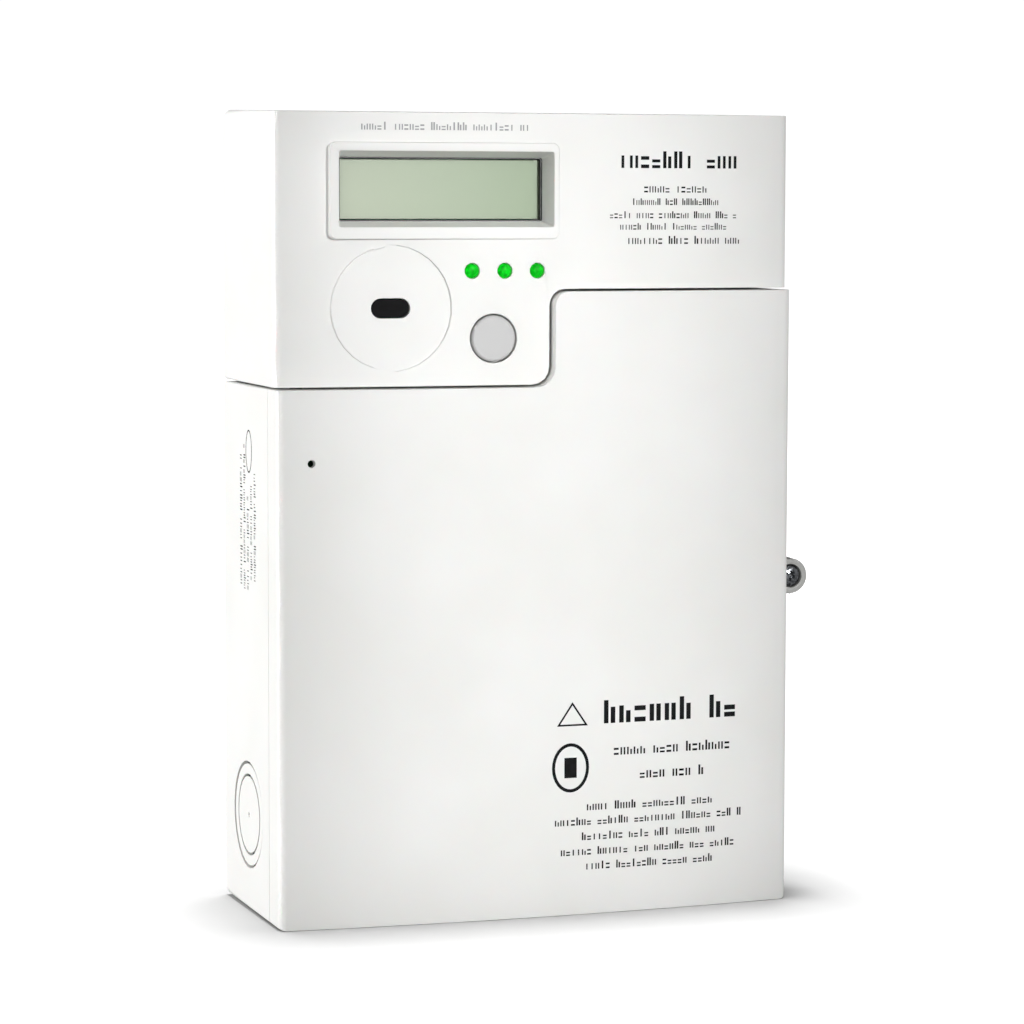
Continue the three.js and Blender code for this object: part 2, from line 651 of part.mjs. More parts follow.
function buildOpticalPort() {
  const front = portFace - IRIS.set_back;
  const back = front - IRIS.thickness;
  place(moduleGroup, "optical_window", FINISH.iris, alongY(rounded(stadiumCorners(0), 5), back, front));
  const ringFront = moduleFront(port.x - PORT.radius) - WALL - CLEAR;
  const ring = disc(port.x, port.z, STEEL_RING.outer, ringFront - STEEL_RING.thickness, ringFront, 24);
  const ringHole = disc(port.x, port.z, STEEL_RING.inner, 0, FAR, 24);
  place(moduleGroup, "port_steel_ring", FINISH.steel, cut(ring, ringHole));
  const tip = back - FIT;
  [["ir_emitter", -1, FINISH.blue], ["ir_receiver", 1, FINISH.black]].forEach(([name, side, finish]) => {
    const body = turned(
      [
        [0, tip],
        [IR_RADIUS * 0.7, tip - 0.4],
        [IR_RADIUS, tip - 1.4],
        [IR_RADIUS, mainBoardFront + FIT],
        [0, mainBoardFront + FIT],
      ],
      port.x + (side * IR_SPACING) / 2,
      port.z,
      12,
    );
    place(moduleGroup, name, finish, body);
  });
}

function buildLamps() {
  ledPlaces.forEach((x, index) => {
    const front = moduleFront(x);
    const flangeFront = front - WALL - CLEAR;
    const body = turned(
      [
        [0, front + 0.7],
        [LED.radius * 0.6, front + 0.5],
        [LED.radius, front - 0.2],
        [LED.radius, flangeFront],
        [LED.radius + 0.7, flangeFront],
        [LED.radius + 0.7, flangeFront - 1],
        [LED.radius, flangeFront - 1],
        [LED.radius, mainBoardFront + FIT],
        [0, mainBoardFront + FIT],
      ],
      x,
      led.z,
    );
    place(moduleGroup, `indicator_lens_${index + 1}`, FINISH.green, body);
  });
}

function buildButton() {
  const front = moduleFront(button.x) + 0.3;
  const flangeFront = moduleFront(button.x - BUTTON.radius - BUTTON.flange) - WALL - CLEAR;
  const stemTip = flangeFront - 3;
  const body = turned(
    [
      [0, front],
      [BUTTON.radius - 0.5, front],
      [BUTTON.radius, front - 0.5],
      [BUTTON.radius, flangeFront],
      [BUTTON.radius + BUTTON.flange, flangeFront],
      [BUTTON.radius + BUTTON.flange, flangeFront - 1],
      [2, flangeFront - 1],
      [2, stemTip],
      [0, stemTip],
    ],
    button.x,
    button.z,
    32,
  );
  place(moduleGroup, "demand_button", FINISH.grey, body);
  const switchTop = stemTip - BUTTON.travel - FIT;
  const housingOutline = centredRectangle(button.x, button.z, TACT.side, TACT.side, 0.4);
  const housing = alongY(housingOutline, mainBoardFront + FIT, switchTop - TACT.plunger_height);
  const plunger = disc(button.x, button.z, TACT.plunger_radius, switchTop - 2, switchTop, 12);
  place(moduleGroup, "tact_switch", FINISH.black, join(housing, plunger));
}

function buildMainBoard() {
  const outline = moduleOutline(WALL + MAIN_BOARD_MARGIN);
  const notches = rearPosts.map(({ x, z }) => disc(x, z, POST_RADIUS + CLEAR, 0, FAR, 12));
  const board = alongY(outline, mainBoardBack, mainBoardFront);
  place(moduleGroup, "main_board", FINISH.board, cut(board, ...notches));
  const back = mainBoardBack - FIT;
  const bar = (x, z, width, height, depth) => {
    return alongY(centredRectangle(x, z, width, height, 0.4), back - depth, back);
  };
  const row = TOP - MAIN_ROW.from_top;
  const chipRow = TOP - CHIP_ROW.from_top;
  const capacitorX = MAIN_ROW.capacitor_from_left - HALF;
  const batteryX = MAIN_ROW.battery_from_left - HALF;
  const processorX = CHIP_ROW.processor_from_left - HALF;
  const coreX = HALF - TRANSFORMER.from_right;
  const core = bar(coreX, row, TRANSFORMER.width, TRANSFORMER.height, TRANSFORMER.depth);
  const coilShape = centredRectangle(coreX, row, TRANSFORMER.coil_width, TRANSFORMER.width, 2);
  const coil = alongY(coilShape, back - TRANSFORMER.depth - 2, back - 2);
  place(moduleGroup, "power_transformer", FINISH.steel, join(core, coil));
  const capacitor = disc(capacitorX, row + 4, CAPACITOR.radius, back - CAPACITOR.length, back);
  place(moduleGroup, "supply_capacitor", FINISH.blue, capacitor);
  const varistorZ = row + 4 - CAPACITOR.radius - VARISTOR.thickness - 2;
  const varistorShape = circle(capacitorX, VARISTOR.radius - back, VARISTOR.radius);
  const halfVaristor = VARISTOR.thickness / 2;
  const varistor = alongZ(varistorShape, varistorZ - halfVaristor, varistorZ + halfVaristor);
  place(moduleGroup, "surge_varistor", FINISH.varnish, varistor);
  const cellShape = circle(BATTERY.radius - back, row + 6, BATTERY.radius);
  const cell = alongX(cellShape, batteryX - BATTERY.length / 2, batteryX + BATTERY.length / 2);
  place(moduleGroup, "backup_battery", FINISH.grey, cell);
  const processor = bar(processorX, chipRow, PROCESSOR.side, PROCESSOR.side, PROCESSOR.thickness);
  place(moduleGroup, "processor_chip", FINISH.black, processor);
  const meteringX = processorX - PROCESSOR.side - METERING.side - 5;
  const metering = bar(meteringX, chipRow, METERING.side, METERING.side, METERING.thickness);
  place(moduleGroup, "metering_chip", FINISH.black, metering);
  const crystalX = processorX + PROCESSOR.side / 2 + CRYSTAL.width / 2 + 5;
  const crystal = bar(crystalX, chipRow, CRYSTAL.width, CRYSTAL.length, CRYSTAL.depth);
  place(moduleGroup, "timing_crystal", FINISH.steel, crystal);
}

function buildRearCover() {
  const outline = moduleOutline(WALL + CLEAR);
  const plugOpening = alongY(centredRectangle(0, socketZ, SOCKET.width, SOCKET.height), 0, FAR);
  const holes = rearPosts.map(({ x, z }) => disc(x, z, SMALL_SCREW.shank + CLEAR, 0, FAR, 12));
  const plate = alongY(outline, REAR_COVER_BACK, rearCoverFront);
  place(moduleGroup, "module_rear_cover", FINISH.shell, cut(plate, plugOpening, ...holes));
  rearPosts.forEach(({ x, z }, index) => {
    const head = alongY(circle(x, z, SMALL_SCREW.head), REAR_COVER_BACK - 1.8, REAR_COVER_BACK - FIT);
    const shank = alongY(circle(x, z, SMALL_SCREW.shank, 12), REAR_COVER_BACK - 1, rearCoverFront + 6);
    const slot = alongY(centredRectangle(x, z, 3, 0.8), 0, REAR_COVER_BACK - 1);
    place(moduleGroup, `rear_cover_screw_${index + 1}`, FINISH.steel, cut(join(head, shank), slot));
  });

  const bodyBack = BACK_PLATE + FIT + SOCKET.depth + FIT;
  const bodyFront = rearCoverFront + 3;
  const body = alongY(
    centredRectangle(0, socketZ, SOCKET.width - 2 * FIT, SOCKET.height - 2 * FIT, 0.6),
    bodyBack,
    bodyFront,
  );
  const slot = alongY(centredRectangle(0, socketZ, SOCKET.slot_width, SOCKET.slot_height), 0, FAR);
  place(moduleGroup, "module_plug", FINISH.black, cut(body, slot));
  const strip = alongY(
    centredRectangle(0, socketZ, SOCKET.slot_width - 1, BLADES.thickness),
    bodyFront - 1.5,
    bodyFront + 2,
  );
  const pitch = SOCKET.slot_width / BLADES.count;
  const blades = [];
  for (let index = 0; index < BLADES.count; index += 1) {
    const x = (index - (BLADES.count - 1) / 2) * pitch;
    const blade = centredRectangle(x, socketZ, BLADES.width, BLADES.thickness);
    blades.push(alongY(blade, BACK_PLATE + BLADES.tip_gap, bodyFront));
  }
  place(moduleGroup, "plug_contacts", FINISH.brass, join(strip, ...blades));
}

function buildModuleScrews() {
  lugs.forEach(({ name, x, z }) => {
    const headBack = LUG.back + LUG.thickness + FIT;
    const body = screw(x, z, LUG_SCREW, headBack, LUG.thickness + LUG_SCREW.reach, true);
    place(moduleGroup, `module_screw_${name}`, FINISH.steel, body);
  });
}

// ---------------------------------------------------------------- terminal cover

function buildCover() {
  const behind = alongY(rectangle(-FAR, -2 * FAR, FAR, 2 * FAR), -1, LIP_FRONT);
  const outer = barrel(0, EDGE_DEPTH, 0).intersect(alongY(coverOutline(0), -1, FAR));
  const hollow = barrel(COVER_WALL, EDGE_DEPTH, -1).intersect(alongY(coverOutline(COVER_WALL), -1, FAR));
  const earBoss = disc(ear.x, ear.z, EAR.radius, LIP_FRONT, earFace, 24);
  const earRoot = alongY(
    rectangle(HALF - COVER_WALL / 2, ear.z - EAR.radius, ear.x, ear.z + EAR.radius),
    LIP_FRONT,
    earFace,
  );
  const headSeat = LIP_FRONT + EAR.floor;
  const openings = [
    disc(pin.x, pin.z, PIN_HOLE.radius, 0, FAR, 12),
    disc(ear.x, ear.z, EAR_BORE, 0, FAR),
    disc(ear.x, ear.z, SEAL_SCREW.head + FIT, headSeat, earFace + 1, 24),
  ];
  const shell = cut(outer, hollow, behind);
  place(coverGroup, "terminal_cover", FINISH.shell, cut(join(shell, earBoss, earRoot), ...openings));

  const headBack = headSeat + FIT;
  const seal = screw(ear.x, ear.z, SEAL_SCREW, headBack, headBack - SEAL_SCREW.tip, true);
  const clipFront = LIP_FRONT - FIT - SEAL_SCREW.travel;
  const clipBack = clipFront - CLIP.thickness;
  const grooveRing = disc(ear.x, ear.z, CLIP.groove_outer, clipBack - FIT, clipFront + FIT);
  const groove = cut(grooveRing, disc(ear.x, ear.z, CLIP.groove_inner, 0, FAR));
  place(coverGroup, "seal_screw", FINISH.steel, cut(seal, groove));
  const clip = disc(ear.x, ear.z, CLIP.radius, clipBack, clipFront);
  const mouth = alongY(rectangle(ear.x - 1.3, ear.z, ear.x + 1.3, ear.z + 6), 0, FAR);
  place(coverGroup, "screw_clip", FINISH.steel, cut(clip, disc(ear.x, ear.z, 1.5, 0, FAR), mouth));
}

buildBase();
buildTerminalBoard();
buildTerminalBlock("voltage", VOLTAGE_BLOCK_X, VOLTAGE_POLES, FINISH.terminal);
buildTerminalBlock("ct", CT_BLOCK_X, CT_POLES, FINISH.grey);
buildShortingSwitch("a", -SWITCH.x);
buildShortingSwitch("b", SWITCH.x);
buildSocket();
buildModuleCase();
buildDisplay();
buildOpticalPort();
buildLamps();
buildButton();
buildMainBoard();
buildRearCover();
buildModuleScrews();
buildCover();

export default meter;
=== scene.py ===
"""Smart electric meter: the finished look of every piece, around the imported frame.

The wall base, the plug-in meter module and the terminal cover are white moulded polycarbonate.
Each class below finishes one sub-assembly; each finish is a small class that builds its material.
"""
import json
import logging
import math
import random
from dataclasses import dataclass, field
from enum import Enum

import bmesh
import bpy
from mathutils import Matrix, Vector
from mathutils.bvhtree import BVHTree

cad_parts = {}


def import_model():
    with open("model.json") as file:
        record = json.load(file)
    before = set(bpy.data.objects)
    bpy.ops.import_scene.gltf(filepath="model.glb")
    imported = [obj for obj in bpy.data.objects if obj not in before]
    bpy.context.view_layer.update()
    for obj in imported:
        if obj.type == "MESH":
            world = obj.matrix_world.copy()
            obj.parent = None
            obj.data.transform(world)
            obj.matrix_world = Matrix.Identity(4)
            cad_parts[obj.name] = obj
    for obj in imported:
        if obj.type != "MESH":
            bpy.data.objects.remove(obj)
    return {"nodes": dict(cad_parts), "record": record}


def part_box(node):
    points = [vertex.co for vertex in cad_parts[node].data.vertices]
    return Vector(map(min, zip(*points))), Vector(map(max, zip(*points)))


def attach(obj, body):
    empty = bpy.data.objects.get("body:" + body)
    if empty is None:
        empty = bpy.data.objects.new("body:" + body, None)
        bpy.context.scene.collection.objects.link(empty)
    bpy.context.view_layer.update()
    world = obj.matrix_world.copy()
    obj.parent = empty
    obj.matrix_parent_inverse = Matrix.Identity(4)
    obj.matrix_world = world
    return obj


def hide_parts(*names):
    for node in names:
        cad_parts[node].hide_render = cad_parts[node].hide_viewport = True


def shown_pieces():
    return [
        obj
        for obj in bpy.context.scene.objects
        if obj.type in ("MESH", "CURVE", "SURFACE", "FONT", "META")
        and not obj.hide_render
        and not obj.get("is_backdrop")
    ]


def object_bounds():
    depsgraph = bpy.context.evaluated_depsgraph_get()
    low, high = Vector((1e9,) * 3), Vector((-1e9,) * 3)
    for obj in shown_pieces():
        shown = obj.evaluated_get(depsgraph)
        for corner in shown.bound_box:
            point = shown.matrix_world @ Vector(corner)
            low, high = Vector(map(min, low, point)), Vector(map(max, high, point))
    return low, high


LOG = logging.getLogger("meter")
MM = 0.001


# ------------------------------------------------------------------ colours and nodes


def linear(colour: str) -> tuple[float, float, float, float]:
    """Turns an sRGB hex colour into linear RGBA.

    Args:
        colour: A string such as "#f2f2f0".

    Returns:
        The linear red, green, blue and an alpha of one.
    """
    parts = [int(colour[i : i + 2], 16) / 255 for i in (1, 3, 5)]
    red, green, blue = (p / 12.92 if p <= 0.04045 else ((p + 0.055) / 1.055) ** 2.4 for p in parts)
    return (red, green, blue, 1.0)


def add_node(
    tree: bpy.types.NodeTree, kind: str, links: dict | None = None, **settings
) -> bpy.types.Node:
    """Adds one shader node with its settings and its incoming links.

    Args:
        tree: The material's node tree.
        kind: The node's type name.
        links: Input name or index to the output socket that feeds it.
        settings: Node properties, and input values under "inputs".

    Returns:
        The new node.
    """
    node = tree.nodes.new(kind)
    inputs = settings.pop("inputs", {})
    for name, value in settings.items():
        setattr(node, name, value)
    for name, value in inputs.items():
        node.inputs[name].default_value = value
    for name, socket in (links or {}).items():
        tree.links.new(socket, node.inputs[name])
    return node


@dataclass(frozen=True)
class Finish:
    """A finish that builds one material, made once and shared by its pieces."""

    name: str
    slot: str

    def material(self) -> bpy.types.Material:
        """Returns the finish's material, building it the first time."""
        found = bpy.data.materials.get(self.name)
        if found:
            return found
        made = bpy.data.materials.new(self.name)
        made.use_nodes = True
        made.node_tree.nodes.clear()
        surface = self.shade(made.node_tree)
        output = add_node(made.node_tree, "ShaderNodeOutputMaterial")
        made.node_tree.links.new(surface, output.inputs["Surface"])
        return made

    def shade(self, tree: bpy.types.NodeTree) -> bpy.types.NodeSocket:
        """Builds the shader and returns its output socket.

        Args:
            tree: The material's empty node tree.

        Returns:
            The shader socket for the material output.
        """
        raise NotImplementedError


def per_metre(size_mm: float) -> float:
    """The texture scale whose features are the given size in millimetres."""
    return 1.0 / (size_mm * MM)


def object_noise(
    tree: bpy.types.NodeTree, size_mm: float, detail: float = 2.0
) -> bpy.types.NodeSocket:
    """Noise on Object coordinates.

    Args:
        tree: The node tree.
        size_mm: The size of one feature.
        detail: How much finer noise lies on it.

    Returns:
        The noise value socket.
    """
    place = add_node(tree, "ShaderNodeTexCoord")
    noise = add_node(
        tree,
        "ShaderNodeTexNoise",
        {"Vector": place.outputs["Object"]},
        inputs={"Scale": per_metre(size_mm), "Detail": detail, "Roughness": 0.55},
    )
    return noise.outputs["Fac"]


def between(
    tree: bpy.types.NodeTree,
    factor: bpy.types.NodeSocket,
    low: str,
    high: str,
    start: float = 0.35,
    end: float = 0.65,
) -> bpy.types.NodeSocket:
    """A colour that runs between two tones as a factor runs from start to end.

    Args:
        tree: The node tree.
        factor: The socket that drives the change.
        low: The sRGB hex colour up to start.
        high: The sRGB hex colour from end on.
        start: The factor where the change begins.
        end: The factor where it is done.

    Returns:
        The colour socket.
    """
    ramp = add_node(tree, "ShaderNodeValToRGB", {"Fac": factor})
    ramp.color_ramp.elements[0].position = start
    ramp.color_ramp.elements[1].position = end
    ramp.color_ramp.elements[0].color = linear(low)
    ramp.color_ramp.elements[1].color = linear(high)
    return ramp.outputs["Color"]


def spread(
    tree: bpy.types.NodeTree, factor: bpy.types.NodeSocket, low: float, high: float
) -> bpy.types.NodeSocket:
    """A number that runs from low to high as a factor runs over its middle range.

    Args:
        tree: The node tree.
        factor: The socket that drives the change.
        low: The number at the low end.
        high: The number at the high end.

    Returns:
        The number's socket.
    """
    mapped = add_node(
        tree,
        "ShaderNodeMapRange",
        {"Value": factor},
        inputs={"From Min": 0.3, "From Max": 0.7, "To Min": low, "To Max": high},
    )
    return mapped.outputs["Result"]


def grain(
    tree: bpy.types.NodeTree, height: bpy.types.NodeSocket, depth_mm: float, strength: float
) -> bpy.types.NodeSocket:
    """Bump from a height, as a normal socket.

    Args:
        tree: The node tree.
        height: The socket that gives the height.
        depth_mm: How deep the bump is, in millimetres.
        strength: How much of it shows.

    Returns:
        The normal's socket.
    """
    bump = add_node(
        tree,
        "ShaderNodeBump",
        {"Height": height},
        inputs={"Strength": strength, "Distance": depth_mm * MM},
    )
    return bump.outputs["Normal"]


# ------------------------------------------------------------------ finishes


@dataclass(frozen=True)
class MouldedPlastic(Finish):
    """Injection-moulded plastic from a spark-eroded tool.

    It has a fine satin grain, a very slight unevenness of gloss from the flow of the melt, and a
    little light carried under the surface of the pale grades.
    """

    colour: str = "#f1f1ef"
    shade_colour: str = "#ededea"
    roughness: float = 0.42
    roughness_play: float = 0.04
    flow_mm: float = 38.0
    # A spark-eroded grain is about 0.05 mm; it is drawn coarser so that it shows at all.
    grain_mm: float = 0.7
    grain_depth_mm: float = 0.02
    grain_strength: float = 0.12
    ior: float = 1.58
    glow: float = 0.0
    glow_reach: float = 0.0012

    def shade(self, tree: bpy.types.NodeTree) -> bpy.types.NodeSocket:
        """Builds the moulded surface.

        Args:
            tree: The material's empty node tree.

        Returns:
            The shader socket.
        """
        flow = object_noise(tree, self.flow_mm)
        fine = object_noise(tree, self.grain_mm, 3.0)
        smooth = self.roughness - self.roughness_play
        matt = self.roughness + self.roughness_play
        surface = add_node(
            tree,
            "ShaderNodeBsdfPrincipled",
            {
                "Base Color": between(tree, flow, self.shade_colour, self.colour),
                "Roughness": spread(tree, fine, smooth, matt),
                "Normal": grain(tree, fine, self.grain_depth_mm, self.grain_strength),
            },
            inputs={
                "IOR": self.ior,
                "Subsurface Weight": self.glow,
                "Subsurface Scale": self.glow_reach,
            },
        )
        return surface.outputs["BSDF"]


@dataclass(frozen=True)
class PlatedMetal(Finish):
    """Zinc-plated or turned metal: a bright skin with faint tool lines and dull patches. On the
    seal screw the patches are near black, a painted shade.
    """

    colour: str = "#c8cacd"
    dull_and_shade_colour: str = "#a4a7ab"
    roughness: float = 0.26
    patch_mm: float = 1.6
    polish: float = 0.06
    dulling: float = 0.12
    line_mm: float = 0.35
    line_depth_mm: float = 0.01
    line_strength: float = 0.15

    def shade(self, tree: bpy.types.NodeTree) -> bpy.types.NodeSocket:
        """Builds the metal.

        Args:
            tree: The material's empty node tree.

        Returns:
            The shader socket.
        """
        # Random patches: dull plating on most metals, and painted shade on the seal screw.
        patches = object_noise(tree, self.patch_mm, 4.0)
        lines = object_noise(tree, self.line_mm, 1.0)
        smooth = self.roughness - self.polish
        matt = self.roughness + self.dulling
        surface = add_node(
            tree,
            "ShaderNodeBsdfPrincipled",
            {
                "Base Color": between(tree, patches, self.dull_and_shade_colour, self.colour),
                "Roughness": spread(tree, patches, smooth, matt),
                "Normal": grain(tree, lines, self.line_depth_mm, self.line_strength),
            },
            inputs={"Metallic": 1.0},
        )
        return surface.outputs["BSDF"]


@dataclass(frozen=True)
class TintedLens(Finish):
    """Dyed clear plastic over a lamp or detector: deep colour, lit a little from inside."""

    colour: str = "#10c028"
    deep_colour: str = "#056b10"
    roughness: float = 0.12
    lamp: float = 0.0
    grain_mm: float = 1.1
    coat: float = 0.6
    coat_roughness: float = 0.04
    ior: float = 1.58

    def shade(self, tree: bpy.types.NodeTree) -> bpy.types.NodeSocket:
        """Builds the lens.

        Args:
            tree: The material's empty node tree.

        Returns:
            The shader socket.
        """
        depth = object_noise(tree, self.grain_mm, 1.0)
        tone = between(tree, depth, self.deep_colour, self.colour)
        surface = add_node(
            tree,
            "ShaderNodeBsdfPrincipled",
            {"Base Color": tone, "Emission Color": tone},
            inputs={
                "Roughness": self.roughness,
                "IOR": self.ior,
                "Coat Weight": self.coat,
                "Coat Roughness": self.coat_roughness,
                "Emission Strength": self.lamp,
            },
        )
        return surface.outputs["BSDF"]


@dataclass(frozen=True)
class ClearPane(Finish):
    """Clear polycarbonate sheet: nearly invisible face on, with a soft sheen at a glance."""

    tint: str = "#f8fbf8"
    sheen: str = "#ffffff"
    roughness: float = 0.06
    falloff: float = 4.0

    def shade(self, tree: bpy.types.NodeTree) -> bpy.types.NodeSocket:
        """Builds the pane.

        Args:
            tree: The material's empty node tree.

        Returns:
            The shader socket.
        """
        through = add_node(tree, "ShaderNodeBsdfTransparent", inputs={"Color": linear(self.tint)})
        sheen = add_node(
            tree,
            "ShaderNodeBsdfGlossy",
            inputs={"Color": linear(self.sheen), "Roughness": self.roughness},
        )
        slant = add_node(tree, "ShaderNodeLayerWeight", inputs={"Blend": 0.5})
        share = add_node(
            tree,
            "ShaderNodeMath",
            {0: slant.outputs["Facing"]},
            operation="POWER",
            inputs={1: self.falloff},
        )
        mixed = add_node(
            tree,
            "ShaderNodeMixShader",
            {"Fac": share.outputs["Value"], 1: through.outputs["BSDF"], 2: sheen.outputs["BSDF"]},
        )
        return mixed.outputs["Shader"]


@dataclass(frozen=True)
class ReflectiveCell(Finish):
    """A reflective display cell: grey-green, with painted light towards the left edge and painted
    shade towards the right.
    """

    # Painted light: the tone at the left edge. deep is the painted shade at the right edge.
    light: str = "#cbcabd"
    deep: str = "#a5ae97"
    # The display's left and right edges, in metres.
    left: float = -0.056
    right: float = 0.003
    roughness: float = 0.35
    ior: float = 1.5

    def shade(self, tree: bpy.types.NodeTree) -> bpy.types.NodeSocket:
        """Builds the cell.

        Args:
            tree: The material's empty node tree.

        Returns:
            The shader socket.
        """
        place = add_node(tree, "ShaderNodeTexCoord")
        parts = add_node(tree, "ShaderNodeSeparateXYZ", {"Vector": place.outputs["Object"]})
        across = add_node(
            tree,
            "ShaderNodeMapRange",
            {"Value": parts.outputs["X"]},
            inputs={"From Min": self.left, "From Max": self.right},
        )
        # Painted light and shade: the cell runs from lighter at the left edge to darker at the
        # right.
        tone = between(tree, across.outputs["Result"], self.light, self.deep, 0.0, 1.0)
        surface = add_node(
            tree,
            "ShaderNodeBsdfPrincipled",
            {"Base Color": tone},
            inputs={"Roughness": self.roughness, "IOR": self.ior, "Coat Weight": 0.0},
        )
        return surface.outputs["BSDF"]


@dataclass(frozen=True)
class SolderMask(Finish):
    """A printed circuit board: green mask over copper tracks, with a soft gloss."""

    colour: str = "#1d6a38"
    track: str = "#2f8a4c"
    # Tracks are 0.3 mm wide and run in rows 2.5 mm apart.
    track_mm: float = 5.0
    track_width: float = 0.06
    track_length: float = 2.6
    track_pitch: float = 0.5
    track_depth_mm: float = 0.04
    track_strength: float = 0.4
    roughness: float = 0.4

    def shade(self, tree: bpy.types.NodeTree) -> bpy.types.NodeSocket:
        """Builds the board.

        Args:
            tree: The material's empty node tree.

        Returns:
            The shader socket.
        """
        place = add_node(tree, "ShaderNodeTexCoord")
        turned = add_node(
            tree,
            "ShaderNodeMapping",
            {"Vector": place.outputs["Object"]},
            inputs={"Rotation": (math.pi / 2, 0.0, 0.0)},
        )
        tracks = add_node(
            tree,
            "ShaderNodeTexBrick",
            {"Vector": turned.outputs["Vector"]},
            offset=0.37,
            inputs={
                "Color1": linear(self.colour),
                "Color2": linear(self.colour),
                "Mortar": linear(self.track),
                "Scale": per_metre(self.track_mm),
                "Mortar Size": self.track_width,
                "Brick Width": self.track_length,
                "Row Height": self.track_pitch,
            },
        )
        surface = add_node(
            tree,
            "ShaderNodeBsdfPrincipled",
            {
                "Base Color": tracks.outputs["Color"],
                "Normal": grain(
                    tree, tracks.outputs["Fac"], self.track_depth_mm, self.track_strength
                ),
            },
            inputs={"Roughness": self.roughness, "Coat Weight": 0.4, "Coat Roughness": 0.2},
        )
        return surface.outputs["BSDF"]


@dataclass(frozen=True)
class PrintedInk(Finish):
    """Pad-printed ink: thin, matt, very slightly uneven in density."""

    colour: str = "#0b0b0c"
    thin_colour: str = "#161618"
    patch_mm: float = 2.5
    roughness: float = 0.6
    ior: float = 1.2

    def shade(self, tree: bpy.types.NodeTree) -> bpy.types.NodeSocket:
        """Builds the ink.

        Args:
            tree: The material's empty node tree.

        Returns:
            The shader socket.
        """
        density = object_noise(tree, self.patch_mm, 3.0)
        surface = add_node(
            tree,
            "ShaderNodeBsdfPrincipled",
            {"Base Color": between(tree, density, self.colour, self.thin_colour)},
            inputs={"Roughness": self.roughness, "IOR": self.ior},
        )
        return surface.outputs["BSDF"]


@dataclass(frozen=True)
class StudioPaper(Finish):
    """The white paper floor that the meter stands on, which shows whiter than it lights."""

    colour: str = "#c4c4c4"
    bounce: str = "#707070"
    near: float = 0.15
    far: float = 1.0
    near_lift: float = 0.02
    far_lift: float = 0.8

    def shade(self, tree: bpy.types.NodeTree) -> bpy.types.NodeSocket:
        """Builds the paper.

        Args:
            tree: The material's empty node tree.

        Returns:
            The shader socket.
        """
        seen = add_node(tree, "ShaderNodeLightPath")
        place = add_node(tree, "ShaderNodeTexCoord")
        reach = add_node(
            tree, "ShaderNodeVectorMath", {0: place.outputs["Object"]}, operation="LENGTH"
        )
        lift = add_node(
            tree,
            "ShaderNodeMapRange",
            {"Value": reach.outputs["Value"]},
            inputs={
                "From Min": self.near,
                "From Max": self.far,
                "To Min": self.near_lift,
                "To Max": self.far_lift,
            },
        )
        lit = add_node(
            tree,
            "ShaderNodeBsdfPrincipled",
            {"Emission Strength": lift.outputs["Result"]},
            inputs={
                "Base Color": linear(self.colour),
                "Roughness": 0.9,
                "Emission Color": linear("#ffffff"),
            },
        )
        plain = add_node(tree, "ShaderNodeBsdfDiffuse", inputs={"Color": linear(self.bounce)})
        mixed = add_node(
            tree,
            "ShaderNodeMixShader",
            {
                "Fac": seen.outputs["Is Camera Ray"],
                1: plain.outputs["BSDF"],
                2: lit.outputs["BSDF"],
            },
        )
        return mixed.outputs["Shader"]


# Clean satin white with a hardly visible grain, and a trace of light under the skin.
WHITE_SHELL = MouldedPlastic("white_polycarbonate_moulded", "white_shell", glow=0.05)
# A flat light grey, duller than the shells, with a grain that a finger would feel.
GREY_PLASTIC = MouldedPlastic(
    "grey_abs_moulded",
    "grey_plastic",
    "#cccccc",
    "#c7c7c7",
    0.5,
    grain_mm=0.6,
    grain_strength=0.2,
)
# Painted shade: the screw's boss is the cover's white plastic, drawn mid grey for the shade it
# lies in behind the cover.
PAINTED_SHADE_BOSS = MouldedPlastic("boss_painted_shade", "white_shell", "#b9b9b6", "#b1b1ae", 0.45)
# Near black with a soft highlight, as filled nylon has.
BLACK_PLASTIC = MouldedPlastic("black_nylon_moulded", "black_plastic", "#1a1a1b", "#141415", 0.42)
# The dusty mid green of terminal blocks.
GREEN_PLASTIC = MouldedPlastic("green_nylon_moulded", "green_plastic", "#3f7a50", "#396f48", 0.45)
# A strong signal red that finds the switch knobs at a glance.
RED_PLASTIC = MouldedPlastic("red_nylon_moulded", "red_plastic", "#b5231a", "#a81f17", 0.4)
# The shiny blue of a shrunk sleeve.
BLUE_PLASTIC = MouldedPlastic("blue_sleeve", "blue_plastic", "#27509c", "#1f4388", 0.35)
# A milky, matt, slightly green white that hides what is behind it.
DIFFUSER = MouldedPlastic("frosted_acrylic_diffuser", "diffuser", "#e8eddc", "#e2e8d4", 0.6)
# The uneven honey gloss of a dipped part.
VARNISH = MouldedPlastic(
    "dipped_epoxy_varnish", "varnish", "#c9962c", "#b98522", 0.25, grain_mm=1.4
)
# Dark grey stacked sheet, rough from its varnish.
CORE = MouldedPlastic(
    "varnished_laminations", "transformer_core", "#4c4c50", "#38383c", 0.45, grain_mm=0.9
)
# Bright cool metal with dull patches where the plating is thin.
STEEL = PlatedMetal("zinc_plated_steel", "zinc_steel")
# More mirror-like, with near-black patches scattered at random. These are painted shade standing
# in for the recess that the head sits in.
SEAL_SCREW_PAINTED_SHADE_STEEL = PlatedMetal(
    "plated_steel_painted_shade", "zinc_steel", "#a2a5a9", "#46484c", 0.2, patch_mm=0.9
)
# Warm yellow metal, fresh from the lathe.
BRASS = PlatedMetal("turned_brass", "brass", "#d0aa58", "#a8833a", 0.3)
# A lit, saturated green with darker depths; its low IOR keeps white glare off the colour.
GREEN_LENS = TintedLens(
    "green_dyed_lens",
    "green_lens",
    "#02c61c",
    "#009c12",
    0.35,
    lamp=0.46,
    coat=0.0,
    ior=1.2,
)
